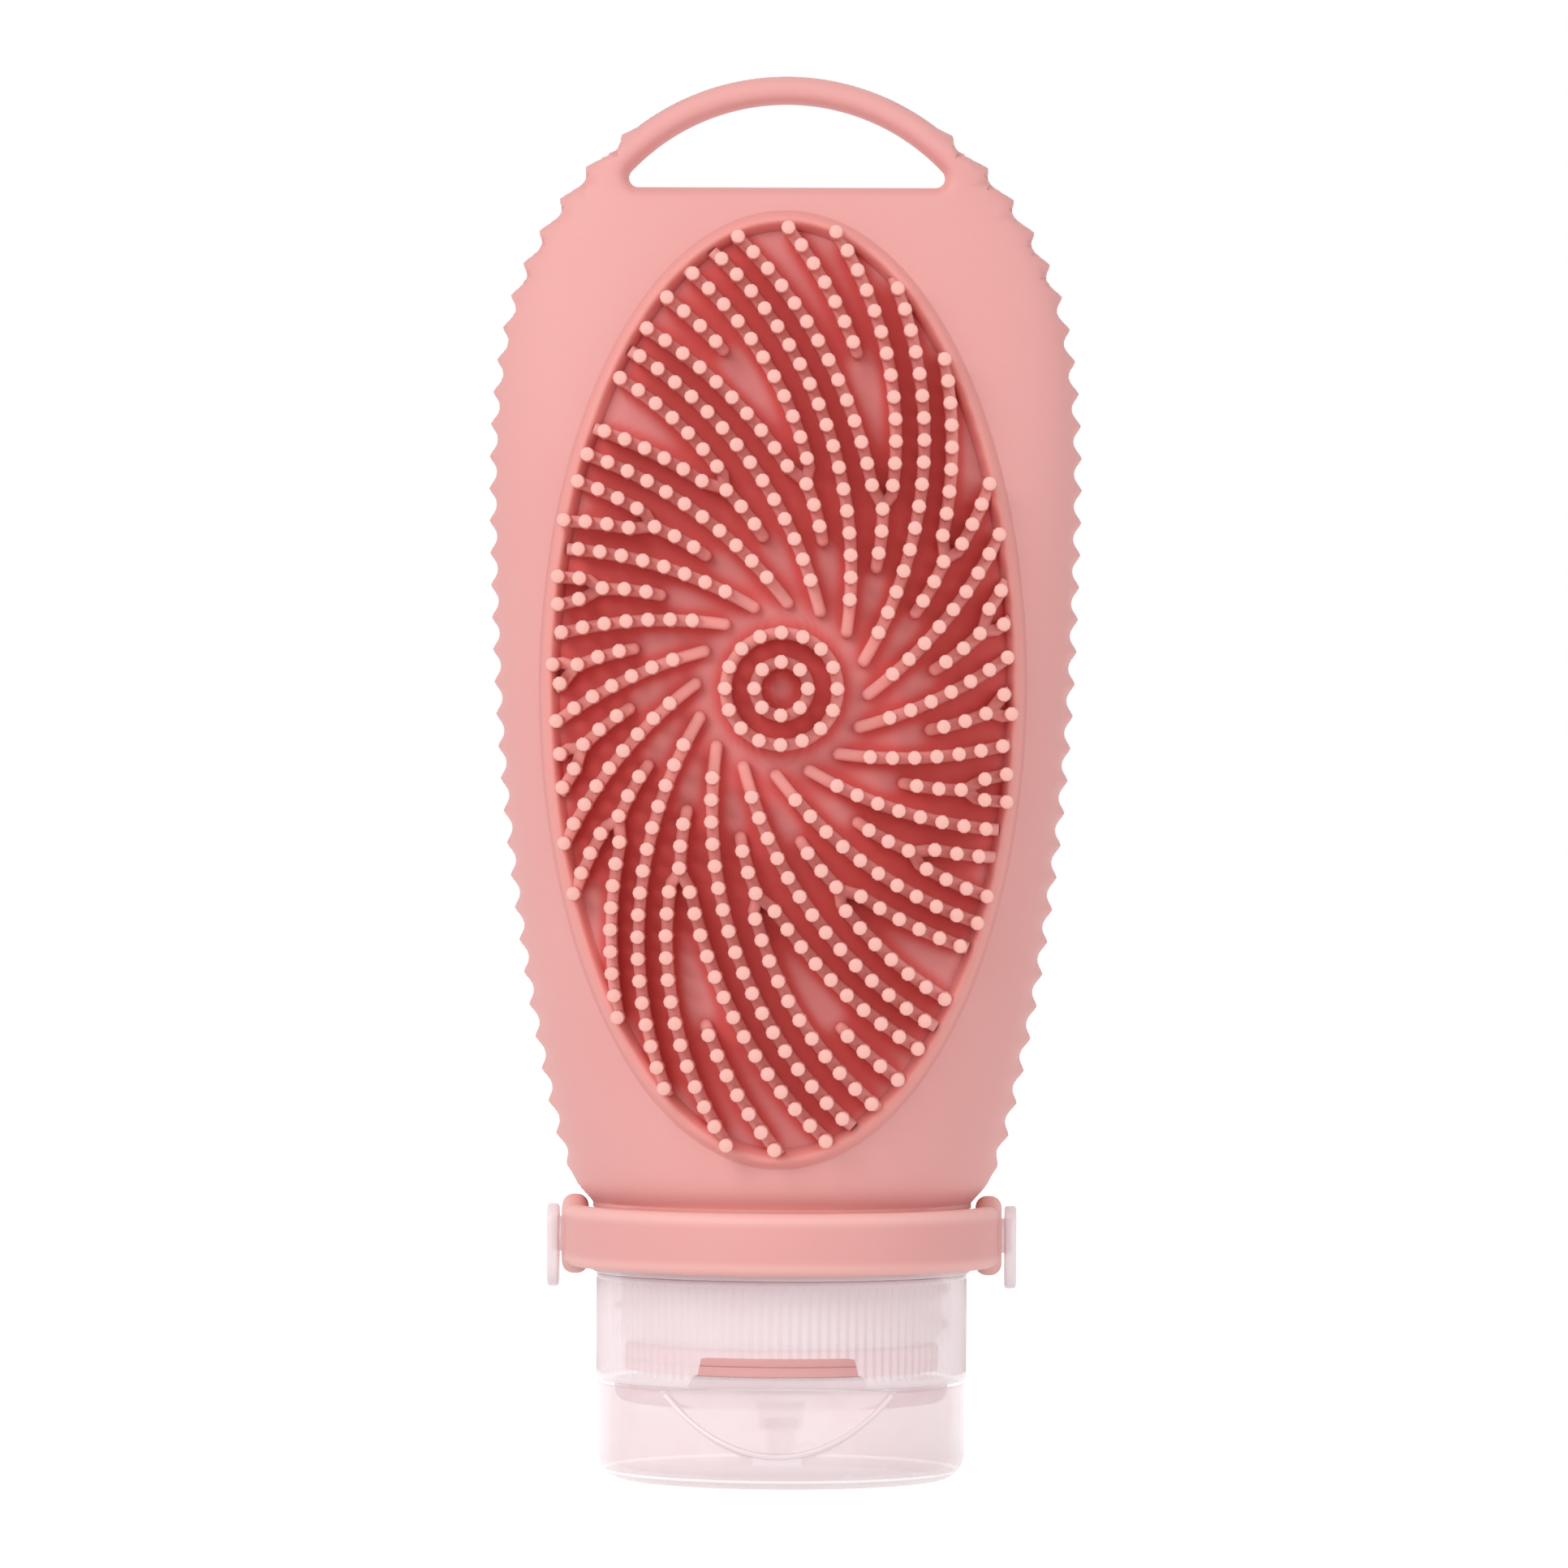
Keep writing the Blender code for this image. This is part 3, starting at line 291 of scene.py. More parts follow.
def grain(tree, size, detail=2.0):
    """Noise with grains of a real size, on the object's own coordinates."""
    place = add_node(tree, "ShaderNodeTexCoord").outputs["Object"]
    return add_node(
        tree, "ShaderNodeTexNoise",
        values={"Scale": 1.0 / size, "Detail": detail, "Roughness": 0.5},
        links={"Vector": place},
    ).outputs["Fac"]


def blend_colours(tree, factor, first, second):
    made = add_node(
        tree, "ShaderNodeMix", settings={"data_type": "RGBA"}, links={"Factor": factor},
    )
    for index, value in ((6, first), (7, second)):
        if isinstance(value, bpy.types.NodeSocket):
            tree.links.new(value, made.inputs[index])
        else:
            made.inputs[index].default_value = with_alpha(value)
    return made.outputs[2]


def grained(tree, noise, smoothest, roughest, strength, depth):
    """Roughness and bump that follow one noise, as links for a shader."""
    gloss = add_node(
        tree, "ShaderNodeMapRange",
        values={"To Min": smoothest, "To Max": roughest}, links={"Value": noise},
    )
    bump = add_node(
        tree, "ShaderNodeBump", values={"Strength": strength, "Distance": depth}, links={"Height": noise},
    )
    return {"Roughness": gloss.outputs[0], "Normal": bump.outputs[0]}


def finish_tree(tree, shader):
    add_node(tree, "ShaderNodeOutputMaterial", links={"Surface": shader.outputs[0]})


def moulded_silicone(name, padded=False, painted_strap_highlight=False):
    """Liquid silicone rubber from a blasted mould.

    It looks matt and slightly powdery, with a soft glow where it is thin. The tone drifts a little
    over a few centimetres. The blasted grain is near 0.05 mm and is drawn at 0.4 mm so that it shows.
    The pad carries painted shade: a deeper red in the channels between close ribs, and a tone that pales
    from the floor up to the bristles' tips. The strap carries a painted highlight along its top and bottom
    edges.
    """
    made = new_tree(name)
    tree = made.node_tree
    drift = grain(tree, 26.0 * MM)
    tone = blend_colours(tree, drift, colours().silicone, colours().silicone_shade)
    if padded:
        # Painted shade on the pad: the weight deepens the floor's red between close ribs, and the rise
        # pales the tone towards the tips.
        close, rise = (
            add_node(tree, "ShaderNodeAttribute", settings={"attribute_name": name}).outputs["Fac"]
            for name in ("painted_shade_weight", "rise")
        )
        tone = blend_colours(tree, close, colours().pad_open, colours().pad_shaded_floor)
        # Painted shade by height: paler on the ribs' tops, paler again up the bristles, palest as painted
        # light on the tips.
        for start, end, colour in (
            (0.0, 0.25, colours().rib_crest_shade),
            (0.3, 0.9, colours().shaded_bristle_sides),
            (0.92, 0.99, colours().lit_bristle_tips),
        ):
            share = add_node(
                tree, "ShaderNodeMapRange",
                values={"From Min": start, "From Max": end}, links={"Value": rise},
            )
            tone = blend_colours(tree, share.outputs[0], tone, colour)
    # Painted highlight: the strap is painted paler near its top and bottom edges.
    if painted_strap_highlight:
        place = add_node(tree, "ShaderNodeTexCoord").outputs["Object"]
        height = add_node(tree, "ShaderNodeSeparateXYZ", links={"Vector": place}).outputs["Z"]
        above = add_node(
            tree, "ShaderNodeMath", settings={"operation": "SUBTRACT"},
            values={1: STRAP_MIDDLE}, links={0: height},
        )
        away = add_node(
            tree, "ShaderNodeMath", settings={"operation": "ABSOLUTE"}, links={0: above.outputs[0]},
        )
        edge = add_node(
            tree, "ShaderNodeMapRange", settings={"interpolation_type": "SMOOTHSTEP"},
            values={"From Min": 1.7 * MM, "From Max": 2.9 * MM}, links={"Value": away.outputs[0]},
        )
        tone = blend_colours(tree, edge.outputs[0], tone, colours().strap_edge_highlight)
    blasted = grained(tree, grain(tree, 0.4 * MM, 3.0), 0.5, 0.62, 0.35, 0.02 * MM)
    shader = add_node(
        tree, "ShaderNodeBsdfPrincipled",
        values={
            "IOR": 1.41,
            "Subsurface Weight": 0.15,
            "Subsurface Radius": (1.0, 0.35, 0.28),
            "Subsurface Scale": 1.2 * MM,
            "Sheen Weight": 0.08,
            "Sheen Roughness": 0.5,
        },
        links={"Base Color": tone, **blasted},
    )
    finish_tree(tree, shader)
    return made


def moulded_polypropylene(name, tint, roughness, haze):
    """Natural polypropylene, injection moulded.

    It is milky: each wall scatters part of the light and lets the shapes behind it show softly. It
    scatters forwards, so most of the light goes on through a wall and the inside stays bright. The
    haze of a wall is drawn where the view enters it, not again where it leaves. Flow lines a few
    millimetres long drift over it.
    """
    made = new_tree(name)
    tree = made.node_tree
    flow = grain(tree, 7.0 * MM)
    flowed = grained(tree, flow, roughness * 0.8, roughness * 1.2, 0.2, 0.05 * MM)
    paler = tuple(1.0 - (1.0 - part) * 0.6 for part in tint)
    tone = blend_colours(tree, flow, tint, paler)
    path = add_node(tree, "ShaderNodeLightPath").outputs
    lighting = add_node(
        tree, "ShaderNodeMath", settings={"operation": "MAXIMUM"},
        links={0: path["Is Shadow Ray"], 1: path["Is Diffuse Ray"]},
    )
    entering = add_node(
        tree, "ShaderNodeMath", settings={"operation": "MULTIPLY_ADD"}, values={1: -0.5 * haze, 2: haze},
        links={0: add_node(tree, "ShaderNodeNewGeometry").outputs["Backfacing"]},
    )
    passing = add_node(
        tree, "ShaderNodeMath", settings={"operation": "MULTIPLY_ADD"},
        values={1: -0.75, 2: 1.0}, links={0: lighting.outputs[0]},
    )
    cover = add_node(
        tree, "ShaderNodeMath", settings={"operation": "MULTIPLY"},
        links={0: entering.outputs[0], 1: passing.outputs[0]},
    )
    shader = add_node(
        tree, "ShaderNodeBsdfPrincipled", values={"IOR": 1.49},
        links={"Alpha": cover.outputs[0], "Base Color": tone, **flowed},
    )
    finish_tree(tree, shader)
    return made


def finish_for(name):
    """The named finish, made once."""
    found = bpy.data.materials.get(name)
    if found:
        return found
    silicones = {"matt_silicone": {}, "pad_silicone": {"padded": True}, "strap_silicone": {"painted_strap_highlight": True}}
    if name in silicones:
        return moulded_silicone(name, **silicones[name])
    tint, haze = {
        "milky_polypropylene": (colours().collar_plastic, 0.8),
        "ribbed_polypropylene": (colours().cap_plastic, 0.78),
        "clear_polypropylene": (colours().clear_plastic, 0.58),
        "thin_polypropylene": (colours().clear_plastic, 0.1),
    }[name]
    return moulded_polypropylene(name, tint, 0.25, haze)


# Mesh helpers


def mesh_of(name, bm):
    """A mesh from a bmesh, which is freed."""
    mesh = bpy.data.meshes.new(name)
    bm.to_mesh(mesh)
    bm.free()
    return mesh


def placed(name, data):
    """A new object in the scene."""
    made = bpy.data.objects.new(name, data)
    bpy.context.scene.collection.objects.link(made)
    return made


def add_piece(name, bm, body, finish, stands_for=(), sharp=40.0, others=(), pick=None):
    """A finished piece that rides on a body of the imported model.

    With other finishes, pick tells from a face's middle which one it takes, 0 being the first.
    """
    if pick:
        for face in bm.faces:
            face.material_index = pick(face.calc_center_median())
    mesh = mesh_of(name, bm)
    mesh.shade_smooth()
    mesh.set_sharp_from_angle(angle=math.radians(sharp))
    for each in (finish, *others):
        mesh.materials.append(finish_for(each))
    piece = placed(name, mesh)
    if body:
        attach(piece, body)
    if stands_for:
        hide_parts(*stands_for)
    return piece


def outward(bm):
    bmesh.ops.remove_doubles(bm, verts=bm.verts, dist=0.001 * MM)
    bmesh.ops.recalc_face_normals(bm, faces=bm.faces)
    return bm


def turned(bm, geom, angle, steps, joined=False, rise=0.0):
    """Turns corners, edges or a face about Z; a thread also rises at each step."""
    bmesh.ops.spin(
        bm, geom=geom, cent=(0.0, 0.0, 0.0), axis=(0.0, 0.0, 1.0), dvec=(0.0, 0.0, rise),
        angle=angle, steps=steps, use_merge=joined,
    )


def closed_ends(bm):
    bmesh.ops.holes_fill(bm, edges=[edge for edge in bm.edges if edge.is_boundary], sides=0)
    return outward(bm)


def spun(profile, steps, closed=True):
    """A solid turned about Z from (radius, height) points; an open profile starts and ends at Z."""
    bm = bmesh.new()
    corners = [bm.verts.new((radius, 0.0, height)) for radius, height in profile]
    edges = [bm.edges.new(pair) for pair in zip(corners, corners[1:])]
    if closed:
        edges.append(bm.edges.new((corners[-1], corners[0])))
    turned(bm, corners + edges, FULL_TURN, steps, joined=True)
    return outward(bm)


def combined(bm, operation, other):
    """The EXACT Boolean of two solids."""
    name = "boolean_step"
    objects = [placed(name, mesh_of(name, source)) for source in (bm, other)]
    modifier = objects[0].modifiers.new(name, "BOOLEAN")
    modifier.operation = operation
    modifier.solver = "EXACT"
    modifier.object = objects[1]
    graph = bpy.context.evaluated_depsgraph_get()
    made = bmesh.new()
    made.from_object(objects[0], graph)
    for step in objects:
        mesh = step.data
        bpy.data.objects.remove(step)
        bpy.data.meshes.remove(mesh)
    return made


def of_kind(items, kind):
    return [item for item in items if isinstance(item, kind)]


def prism(outline, start, end):
    """A prism along X from an outline of (y, z) points."""
    bm = bmesh.new()
    face = bm.faces.new([bm.verts.new((start, y, z)) for y, z in outline])
    pushed = bmesh.ops.extrude_face_region(bm, geom=[face])["geom"]
    bmesh.ops.translate(bm, verts=of_kind(pushed, bmesh.types.BMVert), vec=(end - start, 0.0, 0.0))
    return outward(bm)


def box_outline(near, far, foot, top):
    """The four corners of an upright rectangle, once round from its near foot."""
    return [(near, foot), (far, foot), (far, top), (near, top)]


def softened(bm, width, segments=3, angle=40.0):
    """Bevels the edges that are sharper than an angle."""
    limit = math.radians(angle)
    edges = [e for e in bm.edges if len(e.link_faces) == 2 and e.calc_face_angle() > limit]
    bmesh.ops.bevel(
        bm, geom=edges, offset=width, offset_type="OFFSET", segments=segments, profile=0.5,
        affect="EDGES", clamp_overlap=True, material=-1,
    )
    return bm


def arc(centre, radius, start, end, steps):
    points = []
    for step in range(steps + 1):
        angle = math.radians(start + (end - start) * step / steps)
        points.append((centre[0] + radius * math.cos(angle), centre[1] + radius * math.sin(angle)))
    return points


def merged(bm, other):
    """Adds a second mesh to the first."""
    mesh = mesh_of("merge_step", other)
    bm.from_mesh(mesh)
    bpy.data.meshes.remove(mesh)
    return bm


# Form of the bottle


def value_along(stations, place):
    """The value at a place on a smooth curve through (place, value) stations."""
    last = len(stations) - 1
    index = 0
    while index < last - 1 and place > stations[index + 1][0]:
        index += 1
    before = stations[max(index - 1, 0)]
    here = stations[index]
    ahead = stations[index + 1]
    after = stations[min(index + 2, last)]
    span = ahead[0] - here[0]
    share = min(max((place - here[0]) / span, 0.0), 1.0)
    slope_here = span * (ahead[1] - before[1]) / (ahead[0] - before[0])
    slope_ahead = span * (after[1] - here[1]) / (after[0] - here[0])
    square = share * share
    cube = square * share
    return (
        here[1] * (2 * cube - 3 * square + 1)
        + slope_here * (cube - 2 * square + share)
        + ahead[1] * (3 * square - 2 * cube)
        + slope_ahead * (cube - square)
    )


def height_share(z):
    return (z - BODY_FOOT) / BODY_HEIGHT


def loop_half_width(z):
    return math.sqrt(max(LOOP_RADIUS**2 - (z - LOOP_MIDDLE) ** 2, 0.0))


def shoulder_angle():
    """Degrees up the loop's arch at which it meets the shoulder."""
    return math.degrees(math.atan2(SHOULDER_Z - LOOP_MIDDLE, loop_half_width(SHOULDER_Z)))


def body_half_width(z):
    if z >= SHOULDER_Z:
        return loop_half_width(z)
    shoulder = (height_share(SHOULDER_Z), loop_half_width(SHOULDER_Z) / BODY_HALF_WIDTH)
    return BODY_HALF_WIDTH * value_along((*WIDTH_STATIONS, shoulder), height_share(z))


def body_half_depth(z):
    return BODY_HALF_DEPTH * value_along(DEPTH_STATIONS, height_share(z))


def body_squareness(z):
    return value_along(SQUARENESS_STATIONS, height_share(z))


def face_point(x, z):
    squareness = body_squareness(z)
    share = min(abs(x) / body_half_width(z), 0.995)
    depth = body_half_depth(z) * (1 - share**squareness) ** (1 / squareness)
    return Vector((x, -depth, z))


def face_normal(x, z):
    step = 0.2 * MM
    across = face_point(x + step, z) - face_point(x - step, z)
    up = face_point(x, z + step) - face_point(x, z - step)
    return across.cross(up).normalized()


def lifted(x, z, height):
    """A point over the front face, at a height along its normal."""
    return face_point(x, z) + face_normal(x, z) * height


def raised(x, z, height):
    """A point over the front face, at a height straight towards the front."""
    return face_point(x, z) - Vector((0.0, height, 0.0))


def rounding(distance):
    """From 0 at a free edge to 1 where the surface is flat."""
    left = max(0.0, 1.0 - distance / sizes().edge_round)
    return (1.0 - left**ROUND_POWER) ** (1.0 / ROUND_POWER)


def smooth_share(value, start, end):
    share = min(max((value - start) / (end - start), 0.0), 1.0)
    return share * share * (3.0 - 2.0 * share)


def hole_outline(offset, corner_steps=10, arc_steps=70, foot_steps=30):
    """The loop's D-shaped hole, grown by an offset: (x, z) points once round."""
    corner_z = HOLE_FOOT + HOLE_CORNER
    corner_x = math.sqrt((HOLE_RADIUS - HOLE_CORNER) ** 2 - (corner_z - HOLE_MIDDLE) ** 2)
    lean = math.degrees(math.atan2(corner_z - HOLE_MIDDLE, corner_x))
    points = arc((corner_x, corner_z), HOLE_CORNER + offset, -90, lean, corner_steps)
    points += arc((0.0, HOLE_MIDDLE), HOLE_RADIUS + offset, lean, 180 - lean, arc_steps)[1:]
    points += arc((-corner_x, corner_z), HOLE_CORNER + offset, 180 - lean, 270, corner_steps)[1:]
    for step in range(1, foot_steps):
        points.append((corner_x * (2 * step / foot_steps - 1), HOLE_FOOT - offset))
    return points


def tree_of(points):
    tree = KDTree(len(points))
    for index, (x, z) in enumerate(points):
        tree.insert((x, z, 0.0), index)
    tree.balance()
    return tree


class LoopEdges:
    """Distances to the loop's hole and to its outer edge."""

    def __init__(self):
        self.hole = tree_of(hole_outline(0.0, 60, 900, 700))
        first, count = ARCH_START - 4.0 * MM, 300
        rows = [first + (SHOULDER_Z - first) * step / count for step in range(count)]
        half = [(body_half_width(z), z) for z in rows]
        top = shoulder_angle()
        arch = arc((0.0, LOOP_MIDDLE), LOOP_RADIUS, top, 180 - top, 800)
        self.edge = tree_of(half + [(-x, z) for x, z in half] + arch)

    def to_hole(self, x, z):
        return self.hole.find((x, z, 0.0))[2]

    def to_edge(self, x, z):
        return self.edge.find((x, z, 0.0))[2]

    def inside_hole(self, x, z):
        return z > HOLE_FOOT and math.hypot(x, z - HOLE_MIDDLE) < HOLE_RADIUS

    def depth(self, x, z):
        """Half the bottle's thickness at a place, with the loop's edges rounded."""
        arch = smooth_share(z, ARCH_START, ARCH_FULL)
        level = 0.0
        if arch < 1.0:
            squareness = body_squareness(z)
            share = min(abs(x) / body_half_width(z), 1.0)
            level = (1 - share**squareness) ** (1 / squareness)
        if arch > 0.0:
            level = level * (1 - arch) + rounding(self.to_edge(x, z)) * arch
        if z > HOLE_FOOT - 2 * sizes().edge_round:
            level *= rounding(self.to_hole(x, z))
        return body_half_depth(z) * level


def wave_at(z):
    """Sideways offset of the wavy edge: soft pointed crests with round valleys between them."""
    phase = (z - WAVE_START) / sizes().wave_pitch
    if phase < -0.5 or z > SHOULDER_Z:
        return 0.0
    height = sizes().wave_height
    height += (sizes().wave_top_height - height) * height_share(z) ** 6
    bend = math.sqrt(math.sin(math.pi * phase) ** 2 + WAVE_SOFTNESS)
    low, high = math.sqrt(WAVE_SOFTNESS), math.sqrt(1.0 + WAVE_SOFTNESS)
    ends = min(1.0, phase + 0.5)
    return height * ends * (0.5 - (bend - low) / (high - low))


def outline_rows():
    """Heights of the rows up the side edge."""
    rows = [BODY_FOOT + rise * MM for rise in FOOT_RISES]
    step = sizes().wave_pitch / 8
    z = WAVE_START - 2 * step
    while z < SHOULDER_Z - step / 3:
        rows.append(z)
        z += step
    return rows


def sheet_places(edges):
    """Places of the bottle's face: its outer loop, then the rest, as (x, z, depth)."""
    rows = outline_rows()
    right = [(body_half_width(z) + wave_at(z), z, 0.0) for z in rows]
    top = shoulder_angle()
    arch = [(x, z, 0.0) for x, z in arc((0.0, LOOP_MIDDLE), LOOP_RADIUS, top, 180 - top, ARCH_STEPS)]
    left = [(-x, z, depth) for x, z, depth in reversed(right)]
    foot_width, foot_depth = body_half_width(BODY_FOOT), body_half_depth(BODY_FOOT)
    foot = []
    for angle in range(FOOT_STEP - 90, 90, FOOT_STEP):
        turn = math.radians(angle)
        foot.append((foot_width * math.sin(turn), BODY_FOOT, foot_depth * math.cos(turn)))
    outer = right + arch + left + foot
    hole = [(x, z, 0.0) for x, z in hole_outline(0.0)]
    rest = []
    edge_round = sizes().edge_round

    def keep(x, z, base_x=None):
        rest.append((x, z, edges.depth(x if base_x is None else base_x, z)))

    for number, z in enumerate(rows):
        arch_share = smooth_share(z, ARCH_START, ARCH_FULL)
        angles = FOOT_ANGLES[:-1] if number < len(FOOT_RISES) else EDGE_ANGLES
        if z == BODY_FOOT:
            continue
        for index, angle in enumerate(angles[1:], 1):
            if number >= len(FOOT_RISES) and (index > 3 and number % 2 or index > 5 and number % 4):
                continue
            turn = math.radians(angle)
            power = 2 / body_squareness(z)
            deep = math.sin(turn) ** power
            base = body_half_width(z) * math.cos(turn) ** power
            if arch_share > 0.0:
                slope = (body_half_width(z + 0.1 * MM) - body_half_width(z - 0.1 * MM)) / (0.2 * MM)
                lean = math.sqrt(1 + slope * slope)
                reach = edge_round * (1 - math.cos(math.radians(ROUND_ANGLES[min(index, 6)])))
                level = body_half_width(z) - reach * lean
                base = base * (1 - arch_share) + level * arch_share
                if index > 6:
                    continue
            fade = max(0.0, 1.0 - (deep / WAVE_REACH) ** 2) ** 2
            x = base + wave_at(z) * fade
            if edges.inside_hole(base, z):
                continue
            if z > HOLE_FOOT - 2 * MM and edges.to_hole(base, z) < 0.9 * (body_half_width(z) - base):
                continue
            for side in (-1, 1):
                keep(side * x, z, side * base)
        if number < len(FOOT_RISES):
            keep(0.0, z)
    for angle in ROUND_ANGLES[1:]:
        reach = edge_round * (1 - math.cos(math.radians(angle)))
        if reach < edge_round * 0.97:
            inner = arc((0.0, LOOP_MIDDLE), LOOP_RADIUS - reach, top + 1, 179 - top, ARCH_STEPS - 2)
            for x, z in inner:
                if not edges.inside_hole(x, z) and edges.to_hole(x, z) > reach:
                    keep(x, z)
        for x, z in hole_outline(reach):
            if edges.to_edge(x, z) > reach * 0.98 and abs(x) < body_half_width(z) - reach:
                keep(x, z)
    first_row, last_row, arch_inset, edge_angle = 3.6 * MM, BODY_TOP - 4 * MM, 3.4 * MM, 39.0
    for row in range(int(BODY_HEIGHT / FACE_PITCH)):
        z = BODY_FOOT + first_row + row * FACE_PITCH
        if z > last_row:
            break
        inner = body_half_width(z) * math.cos(math.radians(edge_angle)) ** (2 / body_squareness(z))
        if z > ARCH_START:
            inner = body_half_width(z) - arch_inset
        count = int(inner / FACE_PITCH)
        for index in range(-count, count + 1):
            x = (index + (row % 2) / 2) * FACE_PITCH
            if abs(x) > inner or edges.inside_hole(x, z):
                continue
            if z > HOLE_FOOT - 3 * MM and edges.to_hole(x, z) < edge_round + 0.3 * MM:
                continue
            keep(x, z)
    return outer, hole, rest


def oval(inset, steps):
    """The pad's oval drawn in by an inset: (x, z) points once round."""
    points = []
    for step in range(steps):
        angle = FULL_TURN * step / steps
        points.append((
            (PAD_HALF_WIDTH - inset) * math.cos(angle),
            PAD_MIDDLE + (PAD_HALF_HEIGHT - inset) * math.sin(angle),
        ))
    return points


def oval_place(x, z, inset=0.0):
    """Below 1 inside the pad's oval, above 1 outside it."""
    return math.hypot(x / (PAD_HALF_WIDTH - inset), (z - PAD_MIDDLE) / (PAD_HALF_HEIGHT - inset))


def add_sheet(bm, edges, side, shared):
    """One face of the bottle."""
    outer, hole, rest = sheet_places(edges)
    places = [(x, z, side * depth, False) for x, z, depth in outer + hole + rest]
    if side < 0:
        fixed, low, high = len(outer + hole), 0.96, 1.02
        free = [place for place in places[fixed:] if not low < oval_place(*place[:2]) < high]
        places = places[:fixed] + free
        for inset, sunk in ((PAD_GAP, False), (2.0 * PAD_GAP, True)):
            places += [(x, z, face_point(x, z).y, sunk) for x, z in oval(inset, OVAL_STEPS)]
    first = list(range(len(outer)))
    second = list(range(len(outer), len(outer) + len(hole)))
    split = delaunay_2d_cdt([Vector(p[:2]) for p in places], [], [first, second], 1, 0.001 * MM, True)
    points, _, triangles, sources, _, owners = split
    corners = {}
    for triangle, owner in zip(triangles, owners):
        if 0 not in owner or 1 in owner:
            continue
        ring = []
        for index in triangle:
            if index not in corners:
                source = min(sources[index], default=None)
                x, z = points[index]
                if source is None:
                    y, sunk = side * edges.depth(x, z), False
                else:
                    x, z, y, sunk = places[source]
                sunk = sunk or side < 0 and oval_place(x, z, SEAT_EDGE) < 1
                if source is not None and y == 0.0:
                    key = (round(x, 7), round(z, 7))
                    if key not in shared:
                        shared[key] = bm.verts.new((x, 0.0, z))
                    corners[index] = shared[key]
                elif sunk:
                    corners[index] = bm.verts.new(lifted(x, z, SEAT_DEPTH))
                else:
                    corners[index] = bm.verts.new((x, y, z))
            ring.append(corners[index])
        bm.faces.new(ring)


def neck_levels():
    """Rings from the foot down the neck and up its bore: (half-width, half-depth, squareness, z, y)."""
    lip, bend = 0.3 * MM, 0.4 * MM
    rings = (
        (FLANGE_RADIUS, BODY_FOOT - 0.1 * MM), (FLANGE_RADIUS, SKIRT_FOOT),
        (NECK_RADIUS + bend, SKIRT_FOOT), (NECK_RADIUS, SKIRT_FOOT - 0.35 * MM),
        (NECK_RADIUS, LIP_TOP), (LIP_RADIUS - lip, LIP_TOP),
        (LIP_RADIUS, LIP_TOP - lip), (LIP_RADIUS, LIP_FOOT + lip / 2), (LIP_RADIUS - lip / 3, LIP_FOOT),
        (NECK_BORE + lip, LIP_FOOT), (NECK_BORE, LIP_FOOT + lip), (NECK_BORE, CAVITY_FOOT),
        (NECK_BORE + bend, CAVITY_FOOT + bend),
    )
    levels = [(radius, radius, 2.0, z, 0.0) for radius, z in rings]
    low, high = CAVITY_FOOT + 1.95 * MM, BODY_TOP - 25.0 * MM
    for row in range(CAVITY_ROWS):
        z = low + (high - low) * row / (CAVITY_ROWS - 1)
        wide, deep = body_half_width(z) - SIDE_WALL, body_half_depth(z) - FACE_WALL
        levels.append((wide, deep, body_squareness(z), z, CAVITY_SET_BACK))
    wide, deep, squareness = levels[-1][:3]
    for share, rise in ((0.8, 2.4 * MM), (0.4, 3.6 * MM)):
        levels.append((wide * share, deep * share, squareness, high + rise, CAVITY_SET_BACK))
    return levels


def at_foot(edge):
    return edge.is_boundary and all(abs(vert.co.z - BODY_FOOT) < TOUCH for vert in edge.verts)


def add_neck(bm):
    """The foot of the bottle, its neck and lip, and the cavity inside."""
    foot = [edge for edge in bm.edges if at_foot(edge)]
    width, depth = body_half_width(BODY_FOOT), body_half_depth(BODY_FOOT)
    for half_width, half_depth, squareness, z, middle in neck_levels():
        pushed = bmesh.ops.extrude_edge_only(bm, edges=foot)["geom"]
        foot = of_kind(pushed, bmesh.types.BMEdge)
        for vert in of_kind(pushed, bmesh.types.BMVert):
            turn = math.atan2(vert.co.y / depth, vert.co.x / width)
            across = math.copysign(abs(math.cos(turn)) ** (2 / squareness), math.cos(turn))
            deep = math.copysign(abs(math.sin(turn)) ** (2 / squareness), math.sin(turn))
            vert.co = (half_width * across, middle + half_depth * deep, z)
        width, depth = half_width, half_depth
    bmesh.ops.holes_fill(bm, edges=foot, sides=0)


# Pad: ribs, rings, rim and bristles


def arm_point(arm, turn, run):
    start_radius, start_angle, heading, bend, first = arm
    angle = turn + math.radians(start_angle)
    heading = angle + math.radians(heading)
    ahead = heading + run / bend
    x = start_radius * math.cos(angle) + bend * (math.sin(ahead) - math.sin(heading))
    z = start_radius * math.sin(angle) - bend * (math.cos(ahead) - math.cos(heading))
    return x, PATTERN_MIDDLE + z + PATTERN_BOW * (z / PAD_HALF_HEIGHT) ** 2


def arm_length(arm, turn, limit=LONGEST_ARM):
    """How far an arm runs before its rib meets the rim."""
    run = 0.0
    step = 0.5 * MM
    while run + step < limit:
        if oval_place(*arm_point(arm, turn, run + step), sizes().rim_width * 0.6) >= 1:
            break
        run += step
    return run


def arm_tips(arm, turn, length):
    tips = []
    run = arm[4]
    while run <= length + sizes().bristle_radius:
        x, z = arm_point(arm, turn, run)
        if oval_place(x, z, BRISTLE_INSET) <= 1:
            tips.append((x, z))
        run += sizes().bristle_pitch
    return tips


def arm_path(arm, turn, length):
    steps = max(2, round(length / (1.2 * MM)))
    return [arm_point(arm, turn, length * step / steps) for step in range(steps + 1)]


def rib_profile():
    """Half-round top and drafted sides: (across, height over the face) points."""
    half, top = sizes().rib_width / 2, sizes().rib_rise
    right = [(half * 0.5, top * 0.97), (half * 0.86, top * 0.82), (half, top * 0.55)]
    right.append((half * 1.08, PAD_FLOOR - 0.2 * MM))
    return [(-across, height) for across, height in reversed(right)] + [(0.0, top)] + right


